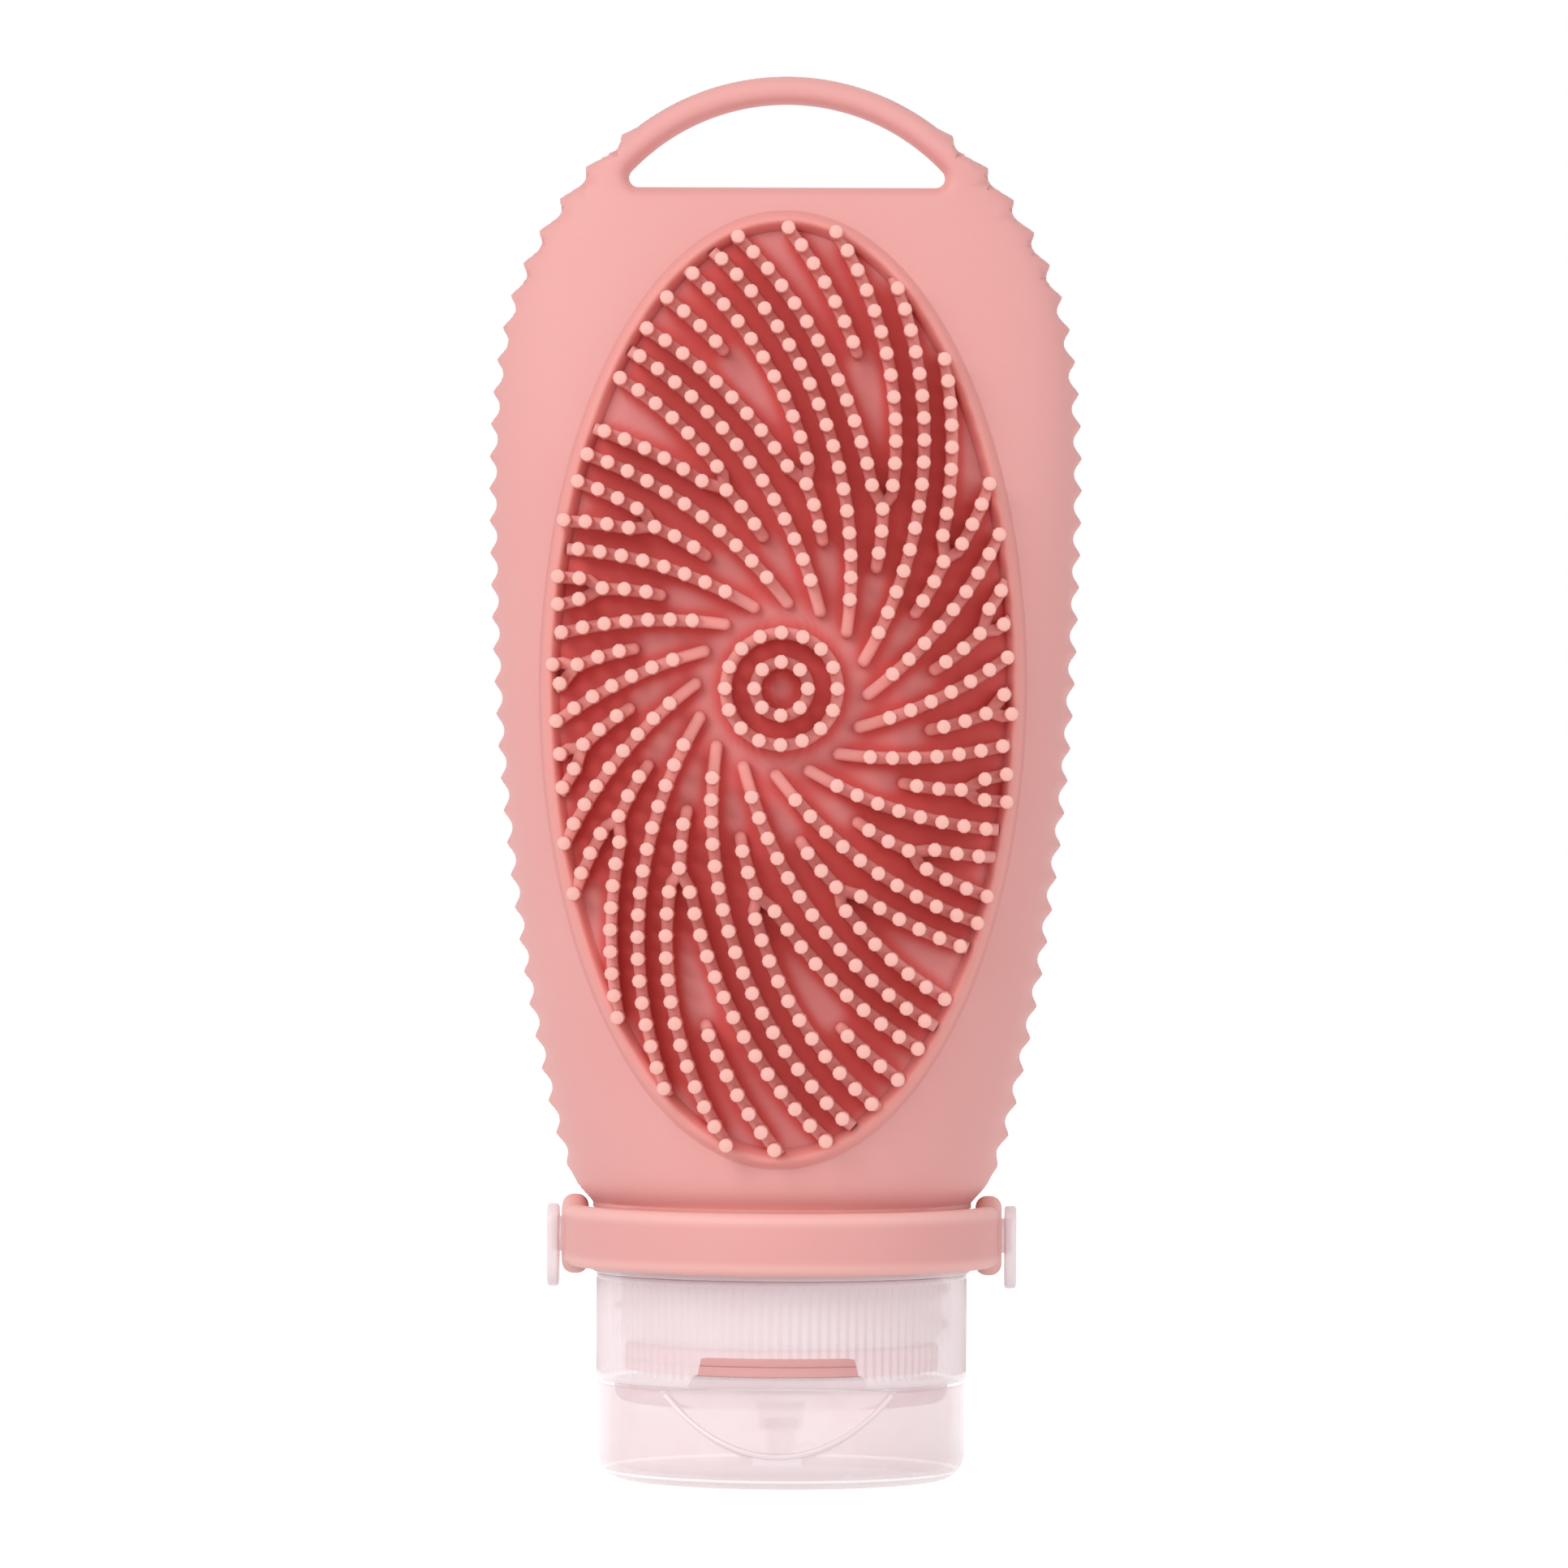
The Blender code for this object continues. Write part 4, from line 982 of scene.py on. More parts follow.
def add_rib(bm, path, rise):
    """Sweeps the rib's profile along a path on the face, with a round inner end."""
    half = sizes().rib_width / 2
    start = Vector(path[0])
    run = (Vector(path[1]) - start).normalized()
    stations = []
    for angle in RIB_END_ANGLES:
        turn = math.radians(angle)
        stations.append((start - run * half * math.sin(turn), run, max(math.cos(turn), 0.12)))
    for index, place in enumerate(path):
        before = Vector(path[max(index - 1, 0)])
        after = Vector(path[min(index + 1, len(path) - 1)])
        stations.append((Vector(place), (after - before).normalized(), 1.0))
    edges = []
    profile = rib_profile()
    for number, (place, run, share) in enumerate(stations):
        side = Vector((run.y, -run.x))
        drop = (1.0 - share) * 0.5
        points = []
        for across, height in profile:
            spot = place + side * across * share
            lower = height - drop * (height - profile[0][1]) if height > 0 else height
            points.append((raised(spot.x, spot.y, lower), lower))
        if number == 0:
            verts = [bm.verts.new(point) for point, _ in points]
            edges = [bm.edges.new(pair) for pair in zip(verts, verts[1:])]
        else:
            pushed = bmesh.ops.extrude_edge_only(bm, edges=edges)["geom"]
            edges = of_kind(pushed, bmesh.types.BMEdge)
            verts = ordered(edges)
            if (verts[0].co - points[0][0]).length > (verts[-1].co - points[0][0]).length:
                verts.reverse()
            for vert, (point, _) in zip(verts, points):
                vert.co = point
        for vert, (_, height) in zip(verts, points):
            vert[rise] = rise_share(height)


def ordered(edges):
    """The corners along an open chain of edges."""
    count = {}
    for edge in edges:
        for vert in edge.verts:
            count.setdefault(vert, []).append(edge)
    vert = next(v for v, found in count.items() if len(found) == 1)
    chain = [vert]
    used = set()
    while True:
        edge = next((e for e in count[vert] if e not in used), None)
        if edge is None:
            return chain
        used.add(edge)
        vert = edge.other_vert(vert)
        chain.append(vert)


def rise_share(height):
    """0 on the pad's floor, 1 at the bristles' tips; the pad's painted shade pales along it."""
    return min(max((height - PAD_FLOOR) / (sizes().bristle_rise - PAD_FLOOR), 0.0), 1.0)


def add_flat(bm, flat, middle, scale_x=1.0, scale_z=1.0):
    """Lays a flat-modelled mesh (across, up the face, height) on the bottle's face."""
    layer = flat.verts.layers.float.new("rise")
    for vert in flat.verts:
        x, up, height = vert.co
        vert[layer] = rise_share(height)
        vert.co = raised(x * scale_x, middle + up * scale_z, height)
    return merged(bm, flat)


def bristle():
    """One bristle, upright, from under its rib to a softly domed tip."""
    radius, top = sizes().bristle_radius, sizes().bristle_rise
    bm = spun((
        (radius * 1.02, -1.5 * MM), (radius * 0.99, top * 0.55), (radius, top - 0.42 * MM),
        (radius * 0.9, top - 0.14 * MM), (radius * 0.55, top - 0.02 * MM), (0.0, top),
    ), 10, closed=False)
    layer = bm.verts.layers.float.new("rise")
    for vert in bm.verts:
        vert[layer] = rise_share(vert.co.z)
    return mesh_of("bristle_step", bm)


def pad_arms():
    """(paths of the ribs, tips of the bristles) of the sixteenfold pattern."""
    paths = []
    tips = []
    for radius, count in CENTRE_RINGS:
        for step in range(count):
            angle = FULL_TURN * step / count
            tips.append((radius * math.cos(angle), PATTERN_MIDDLE + radius * math.sin(angle)))
    for index in range(ARM_COUNT):
        turn = FULL_TURN * index / ARM_COUNT
        for arm in (MAIN_ARM, SHORT_ARM):
            length = arm_length(arm, turn)
            if length > sizes().rib_width:
                paths.append(arm_path(arm, turn, length))
                tips += arm_tips(arm, turn, length)
        stem_length = arm_length(FORK_STEM, turn, FORK_STEM_LENGTH)
        paths.append(arm_path(FORK_STEM, turn, stem_length))
        tips += arm_tips(FORK_STEM, turn, stem_length)
        for arm in (LEFT_BRANCH, RIGHT_BRANCH):
            length = arm_length(arm, turn)
            if length > 0.0:
                fork = arm_point(FORK_STEM, turn, stem_length)
                paths.append([fork, *arm_path(arm, turn, length)])
                tips += arm_tips(arm, turn, length)
    spaced = []
    for tip in tips:
        if all(math.dist(tip, other) > 1.9 * sizes().bristle_radius for other in spaced):
            spaced.append(tip)
    return paths, spaced


# Operators, one for each piece


class BRUSH_OT_body(bpy.types.Operator):
    """Moulds the silicone bottle: wavy edges, hanging loop, neck, lip and cavity"""

    bl_idname = "brush.body"
    bl_label = "Silicone bottle"

    def execute(self, context):
        edges = LoopEdges()
        bm = bmesh.new()
        shared = {}
        add_sheet(bm, edges, -1, shared)
        add_sheet(bm, edges, 1, shared)
        add_neck(bm)
        outward(bm)
        add_piece("silicone_bottle", bm, "bottle", "matt_silicone", ["bottle_body"], 60.0)
        return {"FINISHED"}


class BRUSH_OT_pad(bpy.types.Operator):
    """Lays the brush pad: rim bead, floor, swept ribs, centre rings and round bristles"""

    bl_idname = "brush.pad"
    bl_label = "Brush pad"

    def execute(self, context):
        bm = bmesh.new()
        rise = bm.verts.layers.float.new("rise")
        paths, tips = pad_arms()
        for path in paths:
            add_rib(bm, path, rise)
        for radius, _ in CENTRE_RINGS:
            ring = [(radius + across, height) for across, height in rib_profile()]
            add_flat(bm, spun(ring, 72), PATTERN_MIDDLE)
        lowest = PAD_BACK + 0.1 * MM
        add_oval_bead(bm, rim_profile(lowest), rise)
        floor = [(step / FLOOR_RINGS, PAD_FLOOR) for step in range(FLOOR_RINGS + 1)]
        floor += [(1.0 - step / 5, lowest) for step in range(6)]
        before = len(bm.verts)
        add_flat(
            bm, spun(floor, 320, closed=False), PAD_MIDDLE,
            PAD_HALF_WIDTH - 2.0 * PAD_GAP, PAD_HALF_HEIGHT - 2.0 * PAD_GAP,
        )
        bm.verts.ensure_lookup_table()
        ring = CENTRE_RINGS[0][0]
        for vert in bm.verts[before:]:
            away = math.hypot(vert.co.x, vert.co.z - PATTERN_MIDDLE)
            vert.co.y -= CENTRE_RISE * (1.0 - smooth_share(away, ring - 0.5 * MM, ring + 0.5 * MM))
        weigh_painted_shade(bm, paths)
        template = bristle()
        forward = Matrix.Rotation(math.radians(90), 4, "X")
        for x, z in tips:
            before = len(bm.verts)
            bm.from_mesh(template)
            bm.verts.ensure_lookup_table()
            bmesh.ops.transform(
                bm, matrix=Matrix.Translation(face_point(x, z)) @ forward, verts=bm.verts[before:],
            )
        bpy.data.meshes.remove(template)
        bmesh.ops.recalc_face_normals(bm, faces=bm.faces)
        add_piece("bristle_pad", bm, "bottle", "pad_silicone", ["brush_pad"], 50.0)
        return {"FINISHED"}


def rim_profile(lowest):
    """The rim's section: a soft fillet outside, a round bead and a steeper side towards the floor."""
    width, peak = sizes().rim_width / 2, sizes().rim_rise
    shares = (
        (1.3, -0.02), (1.14, 0.04), (1.0, 0.15), (0.87, 0.38), (0.72, 0.64), (0.54, 0.85),
        (0.34, 0.97), (0.14, 1.0), (-0.06, 0.93), (-0.26, 0.74), (-0.46, 0.42), (-0.66, 0.02),
        (-0.84, -0.3), (-1.0, -0.48),
    )
    top = [(width * across, peak * height) for across, height in shares]
    return [(width * 1.3, lowest), *top, (-width, lowest)]


def weigh_painted_shade(bm, paths):
    """Marks each corner with how much rib lies near it, as the weight of the pad's painted shade: 0 in the
    open, 1 in the channels.
    """
    step, reach, open_share, deep_share = 0.6 * MM, 1.8 * MM, 0.5, 1.4
    samples = []
    for path in paths:
        for here, ahead in zip(path, path[1:]):
            count = max(1, round(math.dist(here, ahead) / step))
            samples += [tuple(Vector(here).lerp(Vector(ahead), n / count)) for n in range(count)]
    for radius, _ in CENTRE_RINGS:
        samples += arc((0.0, PATTERN_MIDDLE), radius, 0, 354, round(FULL_TURN * radius / step))
    tree = tree_of(samples)
    layer = bm.verts.layers.float.new("painted_shade_weight")
    for vert in bm.verts:
        near = tree.find_range((vert.co.x, vert.co.z, 0.0), 2.2 * reach)
        density = sum(math.exp(-(distance / reach) ** 2) for _, _, distance in near) * step / reach
        vert[layer] = smooth_share(density, open_share, deep_share)


def add_oval_bead(bm, profile, rise):
    """The rim: a profile swept round the pad's oval at an even width."""
    steps = 180
    middle = sizes().rim_width / 2
    path = oval(middle, steps)
    rows = []
    for index, place in enumerate(path):
        before, after = Vector(path[index - 1]), Vector(path[(index + 1) % steps])
        run = (after - before).normalized()
        side = Vector((run.y, -run.x))
        row = []
        for across, height in profile:
            spot = Vector(place) + side * across
            vert = bm.verts.new(raised(spot.x, spot.y, height))
            # The bead's crest takes the paler end of the pad's painted shade, as a painted highlight.
            vert[rise] = rise_share(height * 1.4)
            row.append(vert)
        rows.append(row)
    loops = [[bm.edges.new((row[n], row[(n + 1) % len(row)])) for n in range(len(row))] for row in rows]
    for index in range(steps):
        bmesh.ops.bridge_loops(bm, edges=loops[index] + loops[(index + 1) % steps])


class BRUSH_OT_collar(bpy.types.Operator):
    """Turns the milky collar with its thread and the two strap studs"""

    bl_idname = "brush.collar"
    bl_label = "Neck collar"

    def execute(self, context):
        lead_in, edge = 0.8 * MM, 0.1 * MM
        profile = [
            (COLLAR_BORE, COLLAR_END), (COLLAR_CORE - lead_in, COLLAR_END),
            (COLLAR_CORE, COLLAR_END + lead_in), (COLLAR_CORE, FLANGE_FOOT),
            (FLANGE_RADIUS - edge, FLANGE_FOOT), (FLANGE_RADIUS, FLANGE_FOOT + edge),
            (FLANGE_RADIUS, FLANGE_TOP - 5 * edge), (FLANGE_RADIUS - 1.5 * edge, FLANGE_TOP - 1.5 * edge),
            (FLANGE_RADIUS - 5 * edge, FLANGE_TOP), (COLLAR_BORE, FLANGE_TOP),
        ]
        bm = spun(profile, 144)
        merged(bm, thread(COLLAR_CORE - 0.1 * MM, 19.0 * MM, COLLAR_END + 1.2 * MM, 1.35))
        shank_start, shank_end, head_start, head_end = 20.0 * MM, 26.2 * MM, 25.4 * MM, 26.8 * MM
        shank_outline = arc((0.0, STRAP_MIDDLE), 2.0 * MM, 0, 345, 23)
        radius, straight, middle = 2.5 * MM, 2.25 * MM, STRAP_MIDDLE - 1.3 * MM
        head_outline = arc((0.0, middle + straight), radius, 0, 180, 16)
        head_outline += arc((0.0, middle - straight), radius, 180, 360, 16)
        for side in (-1, 1):
            merged(bm, prism(shank_outline, side * shank_start, side * shank_end))
            merged(bm, softened(prism(head_outline, side * head_start, side * head_end), 0.35 * MM))
        outward(bm)
        add_piece("threaded_collar", bm, "bottle", "milky_polypropylene", ["neck_collar"])
        return {"FINISHED"}


def thread(root, crest, foot, turns):
    """A helical ridge about Z, drafted, with its ends closed."""
    bm = bmesh.new()
    depth = crest - root
    flat = 0.6 * MM
    section = ((root, 0.0), (crest, depth * 0.5), (crest, depth * 0.5 + flat), (root, depth + flat))
    corners = [bm.verts.new((radius, 0.0, foot + z)) for radius, z in section]
    face = bm.faces.new(corners)
    steps = int(turns * 96)
    rise = sizes().thread_lead * turns / steps
    turned(bm, [face, *face.verts, *face.edges], FULL_TURN * turns, steps, rise=rise)
    return closed_ends(bm)


class BRUSH_OT_strap(bpy.types.Operator):
    """Bends the silicone strap round the collar, with an eyelet at each end"""

    bl_idname = "brush.strap"
    bl_label = "Strap"

    def execute(self, context):
        inner, outer, half = 22.25 * MM, 24.95 * MM, 3.5 * MM
        section = box_outline(inner, outer, STRAP_MIDDLE - half, STRAP_MIDDLE + half)
        bm = bmesh.new()
        bm.faces.new([bm.verts.new((-radius, 0.0, z)) for radius, z in section])
        bmesh.ops.bevel(
            bm, geom=list(bm.verts), offset=1.2 * MM, offset_type="OFFSET", segments=7, profile=0.5,
            affect="VERTICES", clamp_overlap=True, material=-1,
        )
        bmesh.ops.delete(bm, geom=list(bm.faces), context="FACES_ONLY")
        turned(bm, [*bm.verts, *bm.edges], math.pi, 96)
        closed_ends(bm)
        for side in (-1, 1):
            merged(bm, eyelet(side))
        outward(bm)
        add_piece("silicone_strap", bm, "strap", "strap_silicone", ["strap"])
        return {"FINISHED"}


def eyelet(side):
    """A round eyelet with soft edges, turned about the stud's axis."""
    hole, rim, soft = 2.3 * MM, 4.55 * MM, 1.3 * MM
    inner, outer = 22.1 * MM, 25.1 * MM
    profile = [(hole, inner)]
    profile += arc((rim - soft, inner + soft), soft, -90, 0, 7)
    profile += arc((rim - soft, outer - soft), soft, 0, 90, 7)
    profile += [(hole + 0.3 * MM, outer), (hole, outer - 0.3 * MM)]
    bm = spun(profile, 40)
    turn = Matrix.Rotation(math.radians(90 * side), 4, "Y")
    bmesh.ops.transform(bm, matrix=Matrix.Translation((0.0, 0.0, STRAP_MIDDLE)) @ turn, verts=bm.verts)
    return bm


class BRUSH_OT_washer(bpy.types.Operator):
    """Turns the soft sealing washer between the lip and the cap"""

    bl_idname = "brush.washer"
    bl_label = "Seal washer"

    def execute(self, context):
        edge = 0.15 * MM
        profile = [
            (NECK_BORE, WASHER_FOOT + edge), (NECK_BORE + edge, WASHER_FOOT),
            (LIP_RADIUS - edge, WASHER_FOOT), (LIP_RADIUS, WASHER_FOOT + edge),
            (LIP_RADIUS, WASHER_TOP - 0.07 * MM),
            (LIP_RADIUS - 0.05 * MM, WASHER_TOP), (NECK_BORE + edge, WASHER_TOP),
            (NECK_BORE, WASHER_TOP - 0.17 * MM),
        ]
        bm = spun(profile, 120)
        add_piece("washer_ring", bm, "washer", "matt_silicone", ["seal_washer"])
        return {"FINISHED"}


def scoop_front(z, inset):
    """Where the scoop's slanted face, drawn in by an inset, stands at a height."""
    return -LID_RADIUS + SCOOP_SLOPE * (z - SCOOP_FOOT) + inset * math.sqrt(1 + SCOOP_SLOPE**2)


def scoop(inset, low, high):
    """The space in front of the slanted thumb scoop, drawn in by an inset."""
    reach = 27.0 * MM
    face = [(scoop_front(z, inset), z) for z in (low, high)]
    return prism([(-reach, low), *face, (-reach, high)], -reach, reach)


def scoop_edge(radius, inset, bead):
    """A fine bead along the edge where the scoop meets the lid's round wall."""
    path = []
    steps, top = 24, LID_TOP - 0.5 * MM
    for step in range(-steps, steps + 1):
        rise = (step / steps) ** 2
        z = SCOOP_FOOT + (top - SCOOP_FOOT) * rise
        y = scoop_front(z, inset)
        x = math.copysign(math.sqrt(max(radius**2 - y**2, 0.0)), step)
        path.append(Vector((x, y, z)))
    bm = bmesh.new()
    rows = []
    for index, place in enumerate(path):
        run = (path[min(index + 1, len(path) - 1)] - path[max(index - 1, 0)]).normalized()
        first = run.orthogonal().normalized()
        ring = bmesh.ops.create_circle(bm, segments=8, radius=bead)["verts"]
        turn = run.to_track_quat("Z", "Y").to_matrix().to_4x4()
        bmesh.ops.transform(bm, matrix=Matrix.Translation(place) @ turn, verts=ring)
        rows.append([edge for edge in bm.edges if all(vert in ring for vert in edge.verts)])
    for row, following in zip(rows, rows[1:]):
        bmesh.ops.bridge_loops(bm, edges=row + following)
    bmesh.ops.holes_fill(bm, edges=rows[0] + rows[-1], sides=0)
    return outward(bm)


def lid_finish(place):
    """0 on the lid's outer skin, 1 behind it, 2 on the beads of the scoop's edges."""
    radius = math.hypot(place.x, place.y)
    near = 0.4 * MM
    for inset in (0.0, LID_WALL):
        if abs(place.y - scoop_front(place.z, inset)) < near and abs(radius - LID_RADIUS + inset) < near:
            return 2
    in_scoop = abs(place.y - scoop_front(place.z, 0.0)) < 0.35 * MM and place.z > SCOOP_FOOT - 0.3 * MM
    under_lid = place.z < 1.0 * MM and radius > 2.0 * MM
    return 0 if in_scoop or under_lid else int(radius < LID_RADIUS - 0.55 * MM)


def cap_finish(place):
    """0 on the cap's ribbed skin, 1 behind it, 2 on the plateau and on the window's foot."""
    radius = math.hypot(place.x, place.y)
    skin, window_y, window_x, core = CAP_RADIUS - 0.45 * MM, -18.3 * MM, 1.0 * MM, 17.4 * MM
    if radius > skin:
        return 0
    in_window = place.y < window_y and abs(place.x) < window_x
    top = LEDGE + 0.1 * MM if in_window else SEAM
    return 2 if radius > core and place.z < top else 1


def cap_profile():
    """The cap's section: nozzle with a shallow bore, plateau, ribbed wall, thread bore and ledge."""
    foot, bend = PLATEAU_FOOT, 1.3 * MM
    tip, blind, tip_radius, bore = foot - 3.4 * MM, foot - 2.2 * MM, 2.5 * MM, 1.9 * MM
    heights = (11.7 * MM, 12.25 * MM, 12.45 * MM, 15.8 * MM, 22.75 * MM, 23.0 * MM, 23.25 * MM)
    return [
        (0.0, blind), (bore, blind), (bore, tip), (tip_radius - 0.15 * MM, tip),
        (tip_radius, tip + 0.15 * MM), (tip_radius + 0.2 * MM, foot - 0.3 * MM),
        (tip_radius + 0.5 * MM, foot),
        *arc((PLATEAU_RADIUS - bend, foot + bend), bend, 270, 360, 6), (PLATEAU_RADIUS, SEAM),
        (CAP_RADIUS - 0.4 * MM, SEAM), (CAP_RADIUS - 0.12 * MM, SEAM + 0.1 * MM),
        *((CAP_RADIUS, height) for height in heights),
        (CAP_RADIUS - 0.07 * MM, CAP_TOP - 0.08 * MM), (CAP_RADIUS - 0.25 * MM, CAP_TOP),
        (THREAD_BORE, CAP_TOP), (THREAD_BORE, CAP_STEP), (CAP_BORE, CAP_STEP), (CAP_BORE, LEDGE),
        (0.0, LEDGE),
    ]


def window_cut():
    """The space cut from the cap's front so that the washer and the lip show."""
    front, foot, top, share = -CAP_RADIUS, 11.0 * MM, 14.9 * MM, 0.35
    foot_y, top_y = front + 2.7 * MM, front + 1.8 * MM
    below_washer = (foot_y + (top_y - foot_y) * share, foot + (top - foot) * share)
    clear = front - 3.0 * MM
    outline = [(clear, foot), (foot_y, foot), below_washer, (top_y, top), (clear, top)]
    return prism(outline, front, -front)


def with_hinge_half(bm, radius, foot, top):
    """Joins one half of the living hinge to the back of a piece."""
    outline = box_outline(radius - 1.2 * MM, HINGE_Y, foot, top)
    return combined(bm, "UNION", softened(prism(outline, -HINGE_REACH, HINGE_REACH), 0.25 * MM))


class BRUSH_OT_cap(bpy.types.Operator):
    """Turns the clear screw cap: grip ribs, window, plateau, nozzle and inner thread"""

    bl_idname = "brush.cap"
    bl_label = "Screw cap"

    def execute(self, context):
        grips = sizes().grip_count
        bm = spun(cap_profile(), grips * 4, closed=False)
        for vert in bm.verts:
            radius = math.hypot(vert.co.x, vert.co.y)
            if LEDGE + 0.2 * MM < vert.co.z < CAP_TOP - 0.7 * MM and abs(radius - CAP_RADIUS) < TOUCH:
                groove = 0.5 - 0.5 * math.cos(grips * math.atan2(vert.co.y, vert.co.x))
                narrower = 1 - sizes().grip_depth * groove / radius
                vert.co.x *= narrower
                vert.co.y *= narrower
        flat = LID_WALL + SCOOP_GAP
        bm = combined(bm, "DIFFERENCE", scoop(flat, 2.0 * MM, SEAM))
        inside = CAP_BORE - 1.0 * MM
        section = box_outline(0.0, inside, PLATEAU_FOOT + 1.5 * MM, LEDGE + 0.9 * MM)
        hollow = spun(section, 120, closed=False)
        hollow = combined(hollow, "DIFFERENCE", scoop(flat + PLATEAU_WALL, 5.0 * MM, 17.2 * MM))
        bm = combined(bm, "DIFFERENCE", hollow)
        bm = combined(bm, "DIFFERENCE", window_cut())
        bm = with_hinge_half(bm, CAP_RADIUS, SEAM, SEAM + 2.0 * MM)
        merged(bm, thread(THREAD_BORE + 0.1 * MM, 19.2 * MM, 17.4 * MM, 1.2))
        add_piece(
            "ribbed_cap", bm, "cap", "ribbed_polypropylene", ["screw_cap"], 30.0,
            ("thin_polypropylene", "clear_polypropylene"), cap_finish,
        )
        return {"FINISHED"}


class BRUSH_OT_lid(bpy.types.Operator):
    """Turns the clear flip lid: thumb scoop, sealing pin and hinge half"""

    bl_idname = "brush.lid"
    bl_label = "Flip lid"

    def execute(self, context):
        wall, corner, edge, open_top = LID_WALL, 3.0 * MM, 0.2 * MM, 16.0 * MM
        steps = 192
        side = arc((LID_RADIUS - corner, corner), corner, 270, 360, 12)
        rim = [(LID_RADIUS, LID_TOP - edge), (LID_RADIUS - edge, LID_TOP), (0.0, LID_TOP)]
        bm = spun([(0.0, 0.0), *side, *rim], steps, closed=False)
        bm = combined(bm, "DIFFERENCE", scoop(0.0, SCOOP_FOOT, open_top))
        side = arc((LID_RADIUS - corner, corner), corner - wall, 270, 360, 10)
        section = [(0.0, wall), *side, (LID_RADIUS - wall, open_top), (0.0, open_top)]
        hollow = spun(section, steps, closed=False)
        hollow = combined(hollow, "DIFFERENCE", scoop(wall, -5.0 * MM, 21.0 * MM))
        bm = combined(bm, "DIFFERENCE", hollow)
        pin_radius, pin_foot, pin_top = 1.6 * MM, 0.7 * MM, 5.4 * MM
        pin = [(0.0, pin_foot), (pin_radius, pin_foot), (pin_radius, pin_top - 0.3 * MM)]
        pin += [(pin_radius - 0.3 * MM, pin_top - 0.05 * MM), (0.0, pin_top)]
        bm = combined(bm, "UNION", spun(pin, 32, closed=False))
        bm = with_hinge_half(bm, LID_RADIUS, HINGE_FOOT, LID_TOP)
        for inset, bead in ((0.0, 0.34 * MM), (wall, 0.3 * MM)):
            merged(bm, scoop_edge(LID_RADIUS - inset, inset, bead))
        add_piece(
            "clear_lid", bm, "lid", "clear_polypropylene", ["flip_lid"], 30.0,
            ("thin_polypropylene", "ribbed_polypropylene"), lid_finish,
        )
        return {"FINISHED"}


class BRUSH_OT_hinge(bpy.types.Operator):
    """Bends the thin web of the living hinge between the lid and the cap"""

    bl_idname = "brush.hinge"
    bl_label = "Living hinge"

    def execute(self, context):
        centre, reach, half = (HINGE_Y - 0.9 * MM, HINGE_Z), HINGE_REACH - 0.8 * MM, 0.5 * MM
        outline = arc(centre, 1.2 * MM, 55, -55, 16) + arc(centre, 0.95 * MM, -55, 55, 16)
        bm = prism(outline, -reach, reach)
        piece = add_piece("hinge_web", bm, None, "ribbed_polypropylene")
        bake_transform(piece)
        return {"FINISHED"}


class BRUSH_OT_stage(bpy.types.Operator):
    """Sets the pale floor, the soft studio light and the camera"""

    bl_idname = "brush.stage"
    bl_label = "Stage"

    def execute(self, context):
        scene = context.scene
        scene.view_settings.view_transform = "Standard"
        make_floor()
        make_light("soft_key", (-0.75, -0.95, 0.85), 0.9, 9.2)
        make_light("soft_fill", (1.1, -0.9, 0.45), 1.2, 4.3)
        make_world(scene)
        lens = bpy.data.cameras.new("camera")
        lens.lens = 201.0
        lens.sensor_width = 36.0
        camera = placed("camera", lens)
        height, turn, lean = 79.2 * MM, math.radians(1.1), math.radians(-0.28)
        camera.location = (math.sin(turn), -math.cos(turn), height)
        camera.rotation_euler = (math.radians(90), lean, turn)
        scene.camera = camera
        return {"FINISHED"}


def seen_directly(tree):
    """1 for what the camera sees, also in gloss and through clear plastic; 0 for the light it gives."""
    path = add_node(tree, "ShaderNodeLightPath").outputs
    seen = path["Is Camera Ray"]
    for ray in ("Is Glossy Ray", "Is Transmission Ray"):
        seen = add_node(
            tree, "ShaderNodeMath", settings={"operation": "MAXIMUM"}, links={0: seen, 1: path[ray]},
        ).outputs[0]
    return seen


def make_floor():
    bm = bmesh.new()
    bmesh.ops.create_grid(bm, x_segments=8, y_segments=8, size=4.0)
    floor = placed("floor", mesh_of("floor", bm))
    made = new_tree("pale_floor")
    tree = made.node_tree
    speckle = grain(tree, 3.0 * MM)
    tone = blend_colours(tree, speckle, linear("#F6F5F5"), linear("#FAFAFA"))
    lit = add_node(tree, "ShaderNodeBsdfDiffuse", links={"Color": tone})
    glow = add_node(tree, "ShaderNodeEmission", values={"Strength": 0.75})
    both = add_node(tree, "ShaderNodeAddShader", links={0: lit.outputs[0], 1: glow.outputs[0]})
    pick = add_node(
        tree, "ShaderNodeMixShader", links={0: seen_directly(tree), 1: lit.outputs[0], 2: both.outputs[0]},
    )
    finish_tree(tree, pick)
    floor.data.materials.append(made)


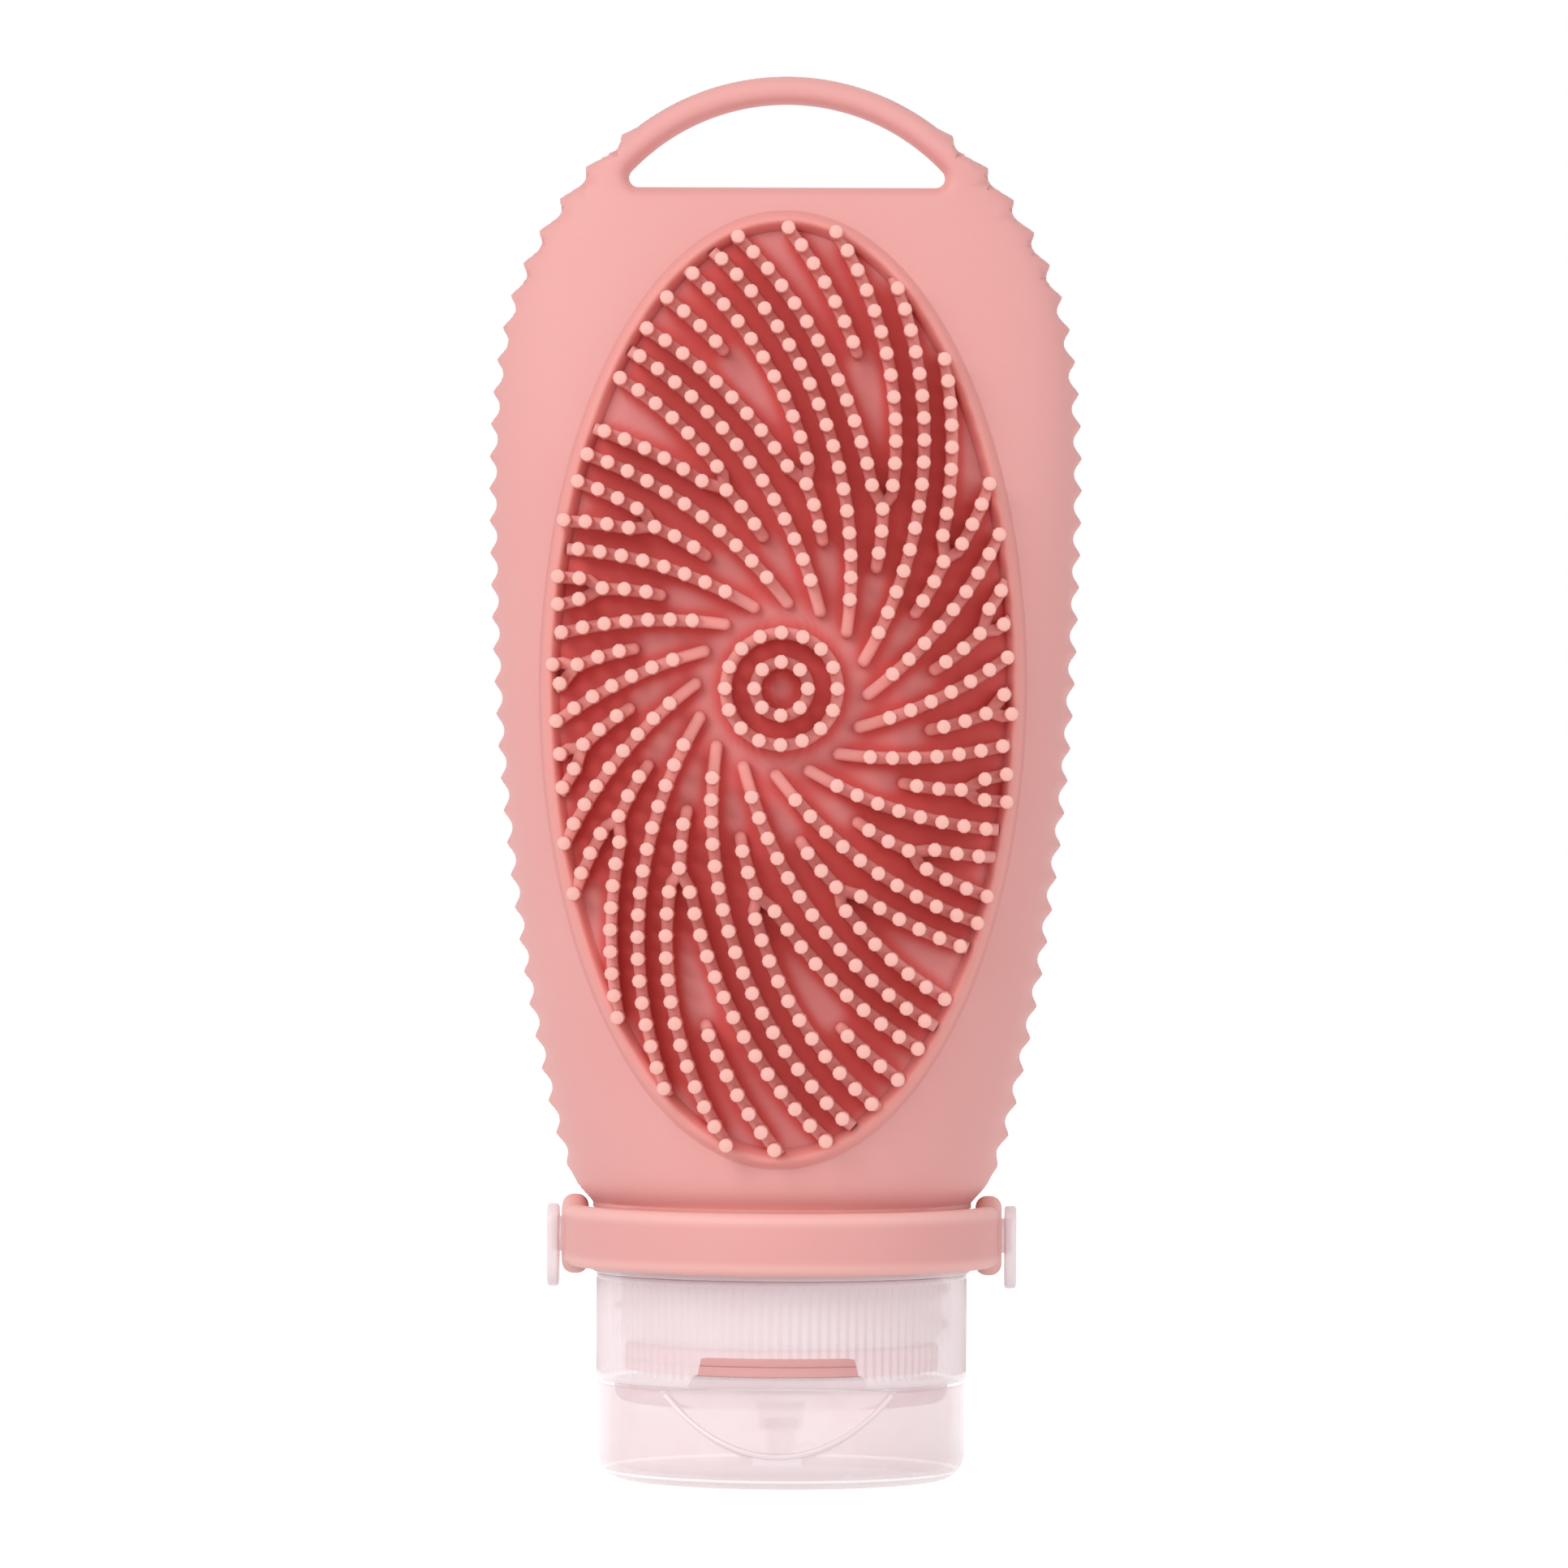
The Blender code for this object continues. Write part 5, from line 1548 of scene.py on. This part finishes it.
def make_light(name, place, size, power):
    light = bpy.data.lights.new(name, "AREA")
    light.size = size
    light.energy = power
    lamp = placed(name, light)
    lamp.location = place
    aim = Vector((0.0, 0.0, 80.0 * MM)) - lamp.location
    lamp.rotation_euler = aim.to_track_quat("-Z", "Y").to_euler()


def make_world(scene):
    world = bpy.data.worlds.new("studio")
    scene.world = world
    world.use_nodes = True
    tree = world.node_tree
    tree.nodes.clear()
    shown, given = (
        add_node(tree, "ShaderNodeBackground", values={"Color": (1.0, 1.0, 1.0, 1.0), "Strength": strength})
        for strength in (1.0, 0.52)
    )
    pick = add_node(
        tree, "ShaderNodeMixShader",
        links={0: seen_directly(tree), 1: given.outputs[0], 2: shown.outputs[0]},
    )
    add_node(tree, "ShaderNodeOutputWorld", links={"Surface": pick.outputs[0]})


class BRUSH_PT_panel(bpy.types.Panel):
    """Lists the pieces and their sizes in the sidebar"""

    bl_label = "Brush bottle"
    bl_idname = "BRUSH_PT_panel"
    bl_space_type = "VIEW_3D"
    bl_region_type = "UI"
    bl_category = "Brush bottle"

    def draw(self, context):
        for made in PIECE_OPERATORS:
            self.layout.operator(made.bl_idname)
        for group in (sizes(), colours()):
            for name in group.__annotations__:
                self.layout.prop(group, name)


PIECE_OPERATORS = (
    BRUSH_OT_stage, BRUSH_OT_body, BRUSH_OT_pad, BRUSH_OT_collar, BRUSH_OT_strap, BRUSH_OT_washer,
    BRUSH_OT_cap, BRUSH_OT_lid, BRUSH_OT_hinge,
)
CLASSES = (BrushBottleSizes, BrushBottleColours, *PIECE_OPERATORS, BRUSH_PT_panel)


def register():
    for made in CLASSES:
        bpy.utils.register_class(made)
    bpy.types.Scene.brush_bottle_sizes = bpy.props.PointerProperty(type=BrushBottleSizes)
    bpy.types.Scene.brush_bottle_colours = bpy.props.PointerProperty(type=BrushBottleColours)


def unregister():
    del bpy.types.Scene.brush_bottle_colours
    del bpy.types.Scene.brush_bottle_sizes
    for made in reversed(CLASSES):
        bpy.utils.unregister_class(made)


def main():
    register()
    for made in PIECE_OPERATORS:
        group, name = made.bl_idname.split(".")
        getattr(getattr(bpy.ops, group), name)()


if __name__ == "__main__":
    main()
